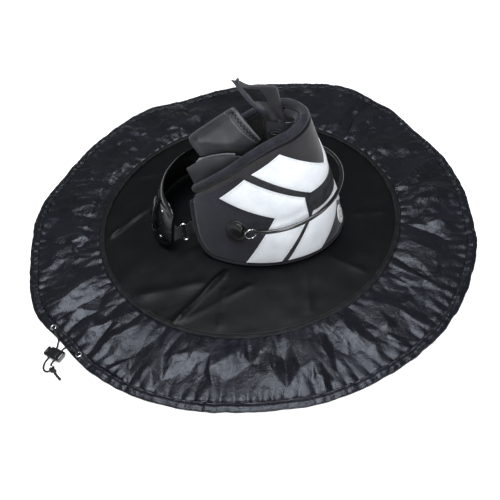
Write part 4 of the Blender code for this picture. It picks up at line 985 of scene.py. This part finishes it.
def patch(name, outline, low, high, look, body, nodes, dome=0.0, cell=0.006, step=0.004, sewn=(), soft=0.0012,
          back=False, ripple=0.0):
    """Piece that follows the shell inside an outline in (u, z), with rounded sewn edges."""
    outline = np.array(outline, float)
    lengths = np.linalg.norm(np.roll(outline, -1, axis=0) - outline, axis=1)
    counts = np.maximum(1, np.ceil(lengths / step)).astype(int)
    insets = [0.0, soft * 0.25, soft * 0.6, soft] + [s + d for s in sewn for d in (-0.0006, 0.0, 0.0006)]
    border = walked(outline, counts)
    rings = [border]
    for distance in insets[1:]:
        ring = walked(inset(outline, distance), counts)
        near, within = from_edge(ring, outline)
        rings.append(ring[within & (near > distance * 0.8)])
    lows, highs = outline.min(0), outline.max(0)
    grid = np.meshgrid(np.arange(lows[0], highs[0], cell), np.arange(lows[1], highs[1], cell))
    grid = np.stack(grid, -1).reshape(-1, 2)
    near, within = from_edge(grid, outline)
    rings.append(grid[within & (near > max(insets) + cell * 0.45)])
    flat = np.concatenate(rings)
    size = len(border)
    found = delaunay_2d_cdt([Vector(p) for p in flat], [(k, (k + 1) % size) for k in range(size)],
                            [list(range(size))], 1, 1e-7)
    places = np.array([(p.x, p.y) for p in found[0]])
    near, _ = from_edge(places, outline)
    curve = np.sqrt(np.clip(1 - (1 - np.minimum(near / soft, 1.0)) ** 2, 0, 1))
    rise = dome * (1 - np.exp(-((near / 0.014) ** 2)))
    for distance in sewn:
        rise = rise - 0.0004 * np.exp(-(((near - distance) / 0.0006) ** 2))
    if ripple:
        spots = np.column_stack([places, np.zeros(len(places))])
        rise = rise + ripple * (rough(spots, 16.0, 51) + 0.5 * rough(spots, 38.0, 52)) * ease(near / 0.02)
    full = high - low
    if back:
        upper = on_shell(places[:, 0], places[:, 1], high)
        lower = on_shell(places[:, 0], places[:, 1], high - full * (0.3 + 0.7 * curve) - rise)
    else:
        upper = on_shell(places[:, 0], places[:, 1], low + full * (0.3 + 0.7 * curve) + rise)
        lower = on_shell(places[:, 0], places[:, 1], low)
    count = len(places)
    faces = [tuple(t) for t in found[2]] + [tuple(k + count for k in reversed(t)) for t in found[2]]
    sides = {}
    for triangle in found[2]:
        for a, b in zip(triangle, [*triangle[1:], triangle[0]]):
            sides.setdefault((min(a, b), max(a, b)), []).append((a, b))
    faces += [(b, a, a + count, b + count) for uses in sides.values() if len(uses) == 1 for a, b in uses]
    return add(name, np.concatenate([upper, lower]), faces, look, body, nodes)


def sewn_rows(outline, distances, off):
    """Lines on the shell, set in from an outline, with the directions out of the shell."""
    rows = []
    for distance in distances:
        ring = inset(outline, distance)
        ring = np.concatenate([ring, ring[:1]])
        ring = np.concatenate([evenly(pair, max(2, int(np.linalg.norm(pair[1] - pair[0]) / 0.004) + 2))
                               for pair in zip(ring, ring[1:])])
        rows.append((on_shell(ring[:, 0], ring[:, 1], off), outward(ring[:, 0])))
    return rows


def flipped(outline, side):
    return [(u * side, z) for u, z in outline]


def at_height(low_point, high_point, z):
    share = (z - low_point[1]) / (high_point[1] - low_point[1])
    return (low_point[0] + (high_point[0] - low_point[0]) * share, z)


def rim_outline(inset_top, inset_foot, count=60):
    """The closed outline of the harness inside the rims."""
    half = np.concatenate([smooth_line(TOP_LINE, count), smooth_line(FOOT_LINE, count)])
    ahead = unit(np.gradient(half, axis=0))
    inwards = np.stack([ahead[:, 1], -ahead[:, 0]], axis=1)
    height = np.clip((half[:, 1] - 0.05) / 0.06, 0, 1)[:, None]
    half = half + inwards * (inset_foot + (inset_top - inset_foot) * height)
    half = half[half[:, 0] > 0.004]
    left = half[::-1] * np.array([-1.0, 1.0])
    top, foot = TOP_LINE[0][1] - inset_top, FOOT_LINE[-1][1] + inset_foot
    return [(0.0, top), *half.tolist(), (0.0, foot), *left.tolist()]


def roll(name, line, depth, thick, tall, look, nodes=(), seed=60):
    """Rolled edge that follows the shell along a line in (u, z), a little wrinkled."""
    line = np.asarray(line, float)
    points = on_shell(line[:, 0], line[:, 1], depth)
    ahead = unit(np.gradient(points, axis=0))
    out = outward(line[:, 0])
    out = unit(out - ahead * (out * ahead).sum(1, keepdims=True))
    up = np.cross(ahead, out)
    turn = np.linspace(0, 2 * np.pi, 24, endpoint=False)
    c, s = (thick * np.cos(turn))[None, :, None], (tall * np.sin(turn))[None, :, None]
    shape = out[:, None] * c + up[:, None] * s
    spots = points[:, None] + shape
    wrinkle = 1 + 0.05 * rough(spots, 45.0, seed) + 0.03 * rough(spots, 120.0, seed + 1)
    share = np.linspace(0, 1, len(line))
    taper = np.sqrt(np.clip(1 - (1 - np.minimum(np.minimum(share, 1 - share) / 0.006, 1.0)) ** 2, 0.02, 1))
    return loft(name, points[:, None] + shape * (wrinkle * taper[:, None])[..., None], look, "harness", nodes)


def both_halves(line, count):
    right = smooth_line(line, count)
    return np.concatenate([right[::-1] * np.array([-1.0, 1.0]), right[1:]])


ARM = [(0.158, 0.254), (0.234, 0.219), (0.091, 0.153)]
UPPER = [(0.0, 0.181), *ARM, *flipped(ARM[::-1], LEFT)]
LEG_IN = at_height((0.111, 0.0), (0.0, 0.078), FOOT)
LEG_OUT = at_height((0.180, 0.0), (0.093, 0.110), FOOT)
LEG_TOP = (0.093, 0.110)
LOWER = [(-0.093, 0.110), (-LEG_OUT[0], FOOT), (-LEG_IN[0], FOOT), (0.0, 0.078), LEG_IN, LEG_OUT, LEG_TOP]
CHEVRON = [
    (0.109, 0.148), (0.252, 0.208), (0.316, 0.160), (0.188, 0.120),
    at_height((0.268, 0.0), (0.188, 0.120), FOOT), at_height((0.194, 0.0), (0.117, 0.093), FOOT),
    (0.117, 0.093), (0.107, 0.104),
]
HIGH_TAPE = [(0.2517, 0.2088), (0.2343, 0.2182), (0.0915, 0.1522), (0.1087, 0.1488)]
LOW_TAPE = [(0.1163, 0.0924), (0.0938, 0.1096), (0.1695, 0.0140), (0.1819, 0.0140)]
BAND_END = [(0.0900, 0.1520), (0.1045, 0.1315), (0.0900, 0.1110)]
BAND = [*BAND_END, *flipped(BAND_END[::-1], LEFT)]
PANEL_LOW, PANEL_HIGH = 0.0007, 0.0022
SEWN = (0.0020, 0.0044)
BADGE = (0.017, 0.022, 0.040)  # half its width, half its height and its middle's height


def make_shell():
    inside_rims = rim_outline(0.0112, 0.0066)
    patch("shell_body", inside_rims, -SHELL, 0.0, "neoprene", "harness", "outer_shell",
          cell=0.008, step=0.008, ripple=0.0007)
    face = -SHELL - 0.0005
    lining = patch("lining_padding", inside_rims, face - LINING, face, "lining", "harness", "lumbar_lining",
                   cell=0.010, step=0.008, back=True, dome=0.0012, ripple=0.0012, soft=0.005)
    top = both_halves(TOP_LINE, 170)
    roll("rim_top_roll", top, RIM_DEPTH, RIM_THICK, RIM_TOP, "binding", "top_rim")
    foot = smooth_line(FOOT_LINE, 150)[::-1]
    foot = foot[foot[:, 1] < 0.1275]
    foot = np.concatenate([foot[::-1] * np.array([-1.0, 1.0]), foot[1:]])
    roll("rim_foot_roll", foot, RIM_DEPTH, RIM_THICK, RIM_FOOT, "binding", "foot_rim", seed=64)
    inner = smooth_line([
        (-0.150, 0.265), (-0.060, 0.276), (0.0, 0.279), (0.060, 0.275), (0.120, 0.266), (0.165, 0.259),
    ], 120)
    roll("rim_inner_roll", inner, -0.0225, 0.0075, 0.0078, "binding", seed=68)
    # the charcoal cloth between the rim and the white panels
    line = smooth_line(TOP_LINE, 90)
    ahead = unit(np.gradient(line, axis=0))
    inwards = np.stack([ahead[:, 1], -ahead[:, 0]], axis=1)
    edge = (line + inwards * 0.0098)[1:-1]
    below = (line + inwards * 0.0190)[1:-1]
    upper = edge[edge[:, 0] < 0.376]
    lower = below[(below[:, 0] > 0.262) & (below[:, 0] < 0.368)]
    half = [*upper.tolist(), *lower[::-1].tolist(), (0.250, 0.207), (0.150, 0.180)]
    whole = [*half, (0.0, 0.175), *flipped(half[::-1], LEFT)]
    patch("shell_margin", whole, 0.0001, 0.0008, "charcoal", "harness", (), cell=0.008, step=0.008)


def make_panels():
    rows = []
    low, high = PANEL_LOW, PANEL_HIGH
    for name, node, outline in (
        ("white_upper", "panel_upper", UPPER), ("white_lower", "panel_lower", LOWER),
        ("white_left", "panel_left", flipped(CHEVRON, LEFT)), ("white_right", "panel_right", CHEVRON),
    ):
        patch(name, outline, low, high, "white_panel", "harness", node, dome=0.0012, sewn=SEWN, ripple=0.0003)
        rows += sewn_rows(outline, SEWN, high - 0.0002)
    add_stitches("panel_stitching", rows, "light_thread", "harness", pitch=0.0036, length=0.0024, width=0.0009,
                 rise=0.0003)
    for side, word in ((LEFT, "left"), (RIGHT, "right")):
        for kind, outline in (("upper", HIGH_TAPE), ("lower", LOW_TAPE)):
            patch("strip_%s_%s" % (kind, word), flipped(outline, side), low, high + 0.0003, "dark_tape",
                  "harness", "tape_%s_%s" % (kind, word), cell=0.004, step=0.003)
    patch("band_centre", BAND, low, high + 0.0006, "dark_tape", "harness", "centre_band", cell=0.005,
          step=0.004, dome=0.0006)
    turns = np.linspace(0, 2 * np.pi, 48, endpoint=False)
    edge = [(BADGE[0] * math.cos(t), BADGE[2] + BADGE[1] * math.sin(t)) for t in turns]
    patch("badge_disc", edge, low, high, "badge_white", "harness", "badge", cell=0.003, step=0.003)
    for name, size in (("badge_ring_outer", 0.86), ("badge_ring_inner", 0.42)):
        turn = np.linspace(0, 2 * np.pi, 64, endpoint=False)
        line = on_shell(BADGE[0] * size * np.cos(turn), BADGE[2] + BADGE[1] * size * np.sin(turn), high + 0.0001)
        bar(name, line, 0.0005, "badge_ring", "harness", closed=True, sides=8)


# ================= rail, boots and ring =================


def rail_frame(angle):
    """Place on the rail at degrees from the middle of the back, its tangent and its outside."""
    turn = math.radians(angle)
    across = np.array([1.0, 0.0, 0.0])
    back = unit(np.cross(RAIL_AXIS, across))
    back = -back if back[1] > 0 else back
    outside = across * math.sin(turn) + back * math.cos(turn)
    tangent = across * math.cos(turn) - back * math.sin(turn)
    return RAIL_CENTRE + outside * RAIL_CIRCLE, tangent, outside


def make_boot(side, word):
    """Rubber boot: a round flange on the shell, a cone and a mouth that holds the rail."""
    mouth, tangent, outside = rail_frame(MOUTH_AT * side)
    tangent = tangent * -side
    out = outward(np.array(BOOT_U * side))
    upper = np.cross(outside, tangent)
    upper = upper if upper[2] > 0 else -upper
    turn = np.linspace(0, 2 * np.pi, 48, endpoint=False)
    c, s = np.cos(turn), np.sin(turn)

    def foot(radius, off):
        return on_shell(BOOT_U * side + c * side * radius, BOOT_Z + s * radius, off)

    def lip(radius, back_by):
        return mouth - tangent * back_by + (outside * c[:, None] + upper * s[:, None]) * radius

    loops = [foot(r, 0.0002) for r in (0.001, 0.010, 0.020, 0.0250)]
    loops += [foot(r, off) for r, off in (
        (0.0259, 0.0007), (0.0263, 0.0015), (0.0260, 0.0024), (0.0250, 0.0031), (0.0232, 0.0032),
        (0.0220, 0.0028), (0.0212, 0.0032),
    )]
    start = foot(0.0204, 0.0038)
    for share in np.linspace(0.06, 1, 9):
        bulge = out * (-0.0040 * math.sin(math.pi * share) * (0.5 + 0.5 * c))[:, None]
        loops.append(start + (lip(MOUTH_RADIUS, 0.0) - start) * share**0.9 + bulge)
    bore = RAIL_THICK + 0.0005
    loops += [lip(MOUTH_RADIUS, -0.0006), lip(0.0077, -0.0010), lip(0.0071, -0.0006), lip(0.0067, 0.0006),
              lip(0.0062, 0.0036), lip(bore, 0.0054), lip(bore, BOOT_BORE)]
    loft("rubber_boot_" + word, loops, "rubber", "harness", "boot_" + word)


def make_rail():
    line = [rail_frame(a)[0] for a in np.linspace(-RAIL_END, RAIL_END, 181)]
    bar("rail_rod", line, RAIL_THICK, "gloss_black", "harness", "rail_tube", sides=28)
    for side, word in ((LEFT, "left"), (RIGHT, "right")):
        make_boot(side, word)
    place, tangent, outside = rail_frame(RING_AT)
    level = unit(outside * (1, 1, 0))
    twist = math.radians(RING_TWIST)
    along = tangent * -math.sin(twist) * -1 * (1 if RING_AT > 0 else -1) + level * math.cos(twist)
    along = unit(along * (1, 1, 0))
    turn = np.linspace(0, 2 * np.pi, 72, endpoint=False)[:, None]
    ring = place - UP * RING_DROP + along * (RING_MAJOR * np.cos(turn)) + UP * (RING_MAJOR * np.sin(turn))
    bar("steel_ring", ring, RING_WIRE, "bright_steel", "ring", "rail_ring", closed=True)


# ================= belts inside =================


def against_lining(u, low, high):
    return (*on_shell(u, low, BELT_DEPTH), *on_shell(u, high, BELT_DEPTH))


def upright(x, y, low, high):
    return (x, y, low, x, y, high)


def ribbon_grid(stations, rows, count):
    line = smooth_line(stations, count)
    share = np.linspace(0, 1, rows)[None, :, None]
    return line[:, None, :3] + (line[:, None, 3:] - line[:, None, :3]) * share


def coons(bottom, top, left, right, rows, columns):
    """Grid of points filling four sides, each a list of points; rows run from bottom to top."""
    bottom, top = (smooth_line(side, columns) for side in (bottom, top))
    left, right = (smooth_line(side, rows) for side in (left, right))
    s = np.linspace(0, 1, columns)[None, :, None]
    t = np.linspace(0, 1, rows)[:, None, None]
    flat = ((1 - t) * bottom[None] + t * top[None] + (1 - s) * left[:, None] + s * right[:, None]
            - (1 - s) * (1 - t) * bottom[0] - s * (1 - t) * bottom[-1] - (1 - s) * t * top[0] - s * t * top[-1])
    return flat, np.broadcast_to(s[..., 0], flat.shape[:2]), np.broadcast_to(t[..., 0], flat.shape[:2])


def make_near_belt():
    stations = [
        against_lining(-0.150, 0.100, 0.235), against_lining(-0.200, 0.100, 0.240),
        against_lining(-0.245, 0.105, 0.236), (-0.0780, -0.030, 0.110, -0.0560, -0.030, 0.226),
        (-0.0690, 0.015, 0.112, -0.0520, 0.015, 0.220), (-0.0620, 0.055, 0.113, -0.0500, 0.060, 0.204),
        (-0.0580, 0.084, 0.114, -0.0500, 0.104, 0.172),
    ]
    leaf("belt_near", ribbon_grid(stations, 12, 90), BELT, "dark_skin", "harness", "near_belt")
    turned = [
        (-0.0240, 0.078, 0.181, -0.0455, 0.078, 0.189), (-0.0240, 0.050, 0.181, -0.0455, 0.050, 0.206),
        (-0.0240, 0.015, 0.181, -0.0455, 0.015, 0.217), (-0.0240, -0.006, 0.181, -0.0475, -0.006, 0.221),
    ]
    grid = ribbon_grid(turned, 12, 40)
    grid[..., 2] += 0.0030 * np.sin(np.pi * np.linspace(0, 1, 12))[None, :]
    # The fold and its lip use the lit copy of the skin, a painted highlight.
    leaf("belt_near_fold", grid, BELT, "skin_painted_highlight", "harness", "near_belt_fold")
    bar("belt_near_lip", grid[:, -1], 0.0023, "skin_painted_highlight", "harness", sides=12)
    flat, s, t = coons(
        [(0.080, 0.1825), (0.037, 0.1825), (-0.006, 0.1825)], [(-0.008, 0.320), (-0.030, 0.284), (-0.056, 0.243)],
        [(0.080, 0.1825), (0.094, 0.213), (0.093, 0.238), (0.050, 0.275), (0.011, 0.306), (-0.008, 0.320)],
        [(-0.006, 0.1825), (-0.030, 0.210), (-0.056, 0.243)], 44, 36)
    spots = np.dstack([flat, 0 * s])
    clear = ease((flat[..., 1] - 0.190) / 0.050)
    puff = 0.0175 * np.sin(np.pi * np.clip((s - 0.16) / 0.84, 0, 1)) ** 0.8
    puff = puff * np.sin(np.pi * np.clip(t, 0.02, 1)) ** 0.75
    valley = 0.0040 * np.exp(-(((s - 0.15) / 0.045) ** 2)) * np.sin(np.pi * t) ** 0.5
    flange = 0.0030 * np.exp(-((s / 0.07) ** 2))
    x = NEAR_FOLD[0] - 0.0010 + (valley - puff - flange) * clear + 0.0012 * rough(spots, 26.0, 71)
    grid = np.dstack([x, flat[..., 0], flat[..., 1]])
    # The flap's colour is raised to paint the sheen on its bulge.
    flap = leaf("flap_near", grid, 0.0040, "smooth_skin", None, ("near_belt_end",), levels=1)
    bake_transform(flap)
    out = unit(normals(grid))
    out = np.where(out[..., :1] > 0, -out, out)
    line = grid[40, 2:-2] + out[40, 2:-2] * 0.0021
    add_stitches("flap_zigzag", [(line, out[40, 2:-2])], "thread", "near_flap", pitch=0.0045, length=0.0047,
                 width=0.0024, rise=0.0010, wave=0.0031)
    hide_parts("zigzag_seam")
    # Its edges use the lit copy of the skin, a painted highlight.
    for number, row in enumerate((42, 37)):
        edge = grid[row, 1:-1] + out[row, 1:-1] * 0.0008
        bar("flap_near_edge_%d" % number, edge, 0.0021 - 0.0006 * number, "skin_painted_highlight", "near_flap", sides=12)


def oval(middle, off, size_y, size_z):
    """Loop of points round an oval across X."""
    turn = np.linspace(0, 2 * np.pi, 40, endpoint=False)
    return np.column_stack([middle[0] + off + 0 * turn, middle[1] + size_y * np.cos(turn),
                            middle[2] + size_z * np.sin(turn)])


def make_far_belt():
    stations = [
        against_lining(0.260, 0.100, 0.232), against_lining(0.200, 0.100, 0.250),
        against_lining(0.140, 0.100, 0.258), against_lining(0.090, 0.100, 0.262),
        upright(0.028, -0.124, 0.105, 0.264), upright(0.013, -0.108, 0.110, 0.266),
        upright(0.011, -0.085, 0.115, 0.266), upright(0.011, -0.060, 0.120, 0.266),
    ]
    grid = ribbon_grid(stations, 14, 90)
    # The far belt shares the skin colour raised to paint sheen.
    leaf("belt_far", grid, BELT, "smooth_skin", "harness", "far_belt")
    flat, s, t = coons(
        [(-0.058, 0.265), (-0.079, 0.265), (-0.100, 0.265)],
        [(-0.012, 0.358), (-0.034, 0.348), (-0.060, 0.349), (-0.082, 0.351), (-0.089, 0.344)],
        [(-0.058, 0.265), (-0.052, 0.292), (-0.028, 0.324), (-0.010, 0.350), (-0.012, 0.358)],
        [(-0.100, 0.265), (-0.097, 0.290), (-0.094, 0.305), (-0.089, 0.344)], 50, 34)
    spots = np.dstack([flat, 0 * s])
    curl = -0.0100 * np.exp(-((s / 0.20) ** 2)) * np.sin(np.pi * np.clip(t, 0.0, 1.0)) ** 0.5
    hollow = 0.0050 * np.sin(np.pi * s) * np.sin(np.pi * t)
    folds = 0.0030 * np.exp(-((t / 0.22) ** 2)) * np.sin(2 * np.pi * (1.6 * s + 1.2 * t))
    x = FAR_FOLD[0] - 0.0012 + curl + hollow + folds * ease(t / 0.06) + 0.0010 * rough(spots, 24.0, 73)
    grid = np.dstack([x, flat[..., 0], flat[..., 1]])
    flap = leaf("flap_far", grid, 0.0040, "dark_skin", None, ("far_belt_end",), levels=1)
    rear, s, t = coons(
        [(-0.044, 0.265), (-0.051, 0.265), (-0.058, 0.265)], [(0.004, 0.353), (-0.004, 0.353), (-0.012, 0.352)],
        [(-0.044, 0.265), (-0.040, 0.290), (-0.018, 0.320), (0.004, 0.353)],
        [(-0.058, 0.265), (-0.052, 0.292), (-0.028, 0.324), (-0.012, 0.352)], 40, 10)
    behind = FAR_FOLD[0] + 0.0060 - 0.0030 * t + 0.0008 * rough(np.dstack([rear, 0 * s]), 30.0, 74)
    second = leaf("flap_far_rear", np.dstack([behind, rear[..., 0], rear[..., 1]]), 0.0022, "skin_edge", None)
    for piece in (flap, second):
        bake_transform(piece)
    bar("flap_far_edge", grid[8:, 0], 0.0030, "skin_edge", "far_flap", sides=12)
    out = normals(grid)
    out = np.where(out[..., :1] > 0, -out, out)
    part = (slice(26, 45), slice(4, 19))
    surface = grid[part] + out[part] * 0.0026
    leaf("hook_loop_pad", surface, 0.0016, "hook_loop", "far_flap", "hook_loop_patch")
    middle = (0.0083, -0.0797, 0.2387)
    sections = [oval(middle, *size) for size in (
        (0.0006, 0.0100, 0.0030), (-0.0008, 0.0101, 0.0031), (-0.0010, 0.0108, 0.0038), (-0.0009, 0.0150, 0.0082),
        (-0.0004, 0.0172, 0.0094), (0.0006, 0.0176, 0.0097))]
    loft("tab_with_slot", sections, "dark_skin", "harness", "slot_tab", closed=True)
    # The slot's lip uses the lit copy of the skin, a painted highlight.
    bar("slot_lip", oval(middle, -0.0008, 0.0106, 0.0036), 0.0007, "skin_painted_highlight", "harness", closed=True,
        sides=10)
    hole = [oval(middle, off, 0.0096, 0.0027) for off in (0.0008, 0.0005)]
    loft("slot_inside", hole, "hook_loop", "harness")


# ================= front =================


def on_pad(degrees, height, off=0.0):
    """Point on the front pad's outer face, at degrees from the middle of the front."""
    degrees, height, off = np.broadcast_arrays(*[np.asarray(v, float) for v in (degrees, height, off)])
    turn = np.radians(degrees)
    share = (height - PAD_FOOT) / (PAD_TOP - PAD_FOOT)
    out = unit(np.stack([PAD_HALF_Y * np.sin(turn), PAD_HALF_X * np.cos(turn), 0 * turn], axis=-1))
    foot = np.stack([PAD_HALF_X * np.sin(turn), PAD_CENTRE_Y + PAD_HALF_Y * np.cos(turn), height], axis=-1)
    return foot + out * (off - PAD_LEAN * share)[..., None]


def make_pad():
    rows, columns = 30, 100
    i = np.linspace(-1, 1, columns)[:, None]
    j = np.linspace(-1, 1, rows)[None, :]
    narrow = np.where(abs(i) > 0.75, 1 - 0.35 * (np.maximum(0, abs(i) - 0.75) / 0.25) ** 2, 1.0)
    half = (PAD_TOP - PAD_FOOT) / 2 * narrow
    height = np.maximum((PAD_TOP + PAD_FOOT) / 2 + half * j, PAD_CLEAR + 0.003 * (1 + j))
    puff = (np.clip(1 - abs(j) ** 2.6, 0, 1) ** 0.5) * (np.clip(1 - abs(i) ** 9, 0, 1) ** 0.5)
    spots = on_pad(i * PAD_SWEEP, height)
    wave = rough(spots, 30.0, 81) * 0.0008
    channel = -0.0016 * np.exp(-(((abs(j) - 0.72) / 0.05) ** 2)) * (abs(i) < 0.93)
    outer = on_pad(i * PAD_SWEEP, height, -0.0045 + 0.0062 * puff + wave + channel)
    inner = on_pad(i * PAD_SWEEP, height, -0.0055 - 0.0058 * puff)
    pad = slab("pad_front", outer, inner, "gloss_pad", "pad", "front_pad")
    strap = smooth_line([
        (-44.0, 0.030, 0.0010), (-42.0, 0.033, 0.0060), (-38.0, 0.045, 0.0085),
        (-35.0, 0.065, 0.0085), (-33.0, 0.083, 0.0060), (-32.0, 0.090, 0.0010)], 40)
    wide = np.linspace(-5.0, 5.0, 9)[None, :]
    grid = on_pad(strap[:, :1] + wide, strap[:, 1:2] + 0 * wide, strap[:, 2:] + WEB / 2 + 0.0020 + 0 * wide)
    leaf("strap_on_pad", grid, WEB, "gloss_pad", "pad", "pad_strap_loop")
    for name, node, degrees, height in (("rivet_low", "pad_rivet_low", -58.0, 0.028),
                                        ("rivet_high", "pad_rivet_high", -52.0, 0.084)):
        centre = on_pad(degrees, height, 0.0014)
        ahead = unit(on_pad(degrees + 1, height) - on_pad(degrees, height))
        up = unit(on_pad(degrees, height + 0.001) - on_pad(degrees, height))
        out = np.cross(up, ahead)
        out = out if out[1] > 0 else -out
        turn = np.linspace(0, 2 * np.pi, 32, endpoint=False)[:, None]
        loft(name, [centre + out * off + (ahead * np.cos(turn) + up * np.sin(turn)) * r for r, off in (
            (0.0034, -0.0004), (0.0037, 0.0002), (0.0037, 0.0008), (0.0033, 0.0013), (0.0024, 0.0017), (0.0010, 0.0019))],
            "bright_steel", "pad", node)


def make_webs():
    low, high = BUCKLE[2] - WEB_HALF, BUCKLE[2] + WEB_HALF
    stations = [against_lining(u, low, high) for u in (0.352, 0.372, 0.390)]
    stations += [upright(0.1030, 0.0935, low, high), upright(0.1142, 0.0990, low, high)]
    for side, word in ((LEFT, "left"), (RIGHT, "right")):
        mirror = np.array([side, 1, 1, side, 1, 1])
        grid = ribbon_grid([np.array(p) * mirror for p in stations], 12, 40)
        leaf("web_wing_" + word, grid, WEB, "webbing", "harness", "wing_webbing_" + word)
        middle = np.array([BUCKLE[0] * side, BUCKLE[1], BUCKLE[2]])
        back = unit(np.array([-0.35 * side, -0.94, 0.0])) * 0.0105
        tall, corner, inner = UP * BUCKLE_HALF, UP * 0.003, back * 0.25
        points = [middle - tall + corner, middle, middle + tall - corner, middle + tall + inner,
                  middle + tall + back / 2, middle + tall + back - inner, middle + tall - corner + back,
                  middle + back, middle - tall + corner + back, middle - tall + back - inner,
                  middle - tall + back / 2, middle - tall + inner]
        line = evenly(np.concatenate([points, points[:1]]), 121)[:-1]
        bar("wire_buckle_" + word, line, 0.0017, "bright_steel", "harness", "buckle_" + word, closed=True)
    end = (*on_pad(78.5, low, -0.0045), *on_pad(78.5, high, -0.0045))
    mirror = np.array([-1, 1, 1, -1, 1, 1])
    stations = [np.array(p) * mirror for p in (
        upright(0.1208, 0.1134, low, high), upright(0.1245, 0.1190, low, high), end)]
    leaf("web_pad_left", ribbon_grid(stations, 12, 20), WEB, "webbing", "pad", "pad_webbing_left")


make_shell()
make_panels()
make_rail()
make_near_belt()
make_far_belt()
make_pad()
make_webs()
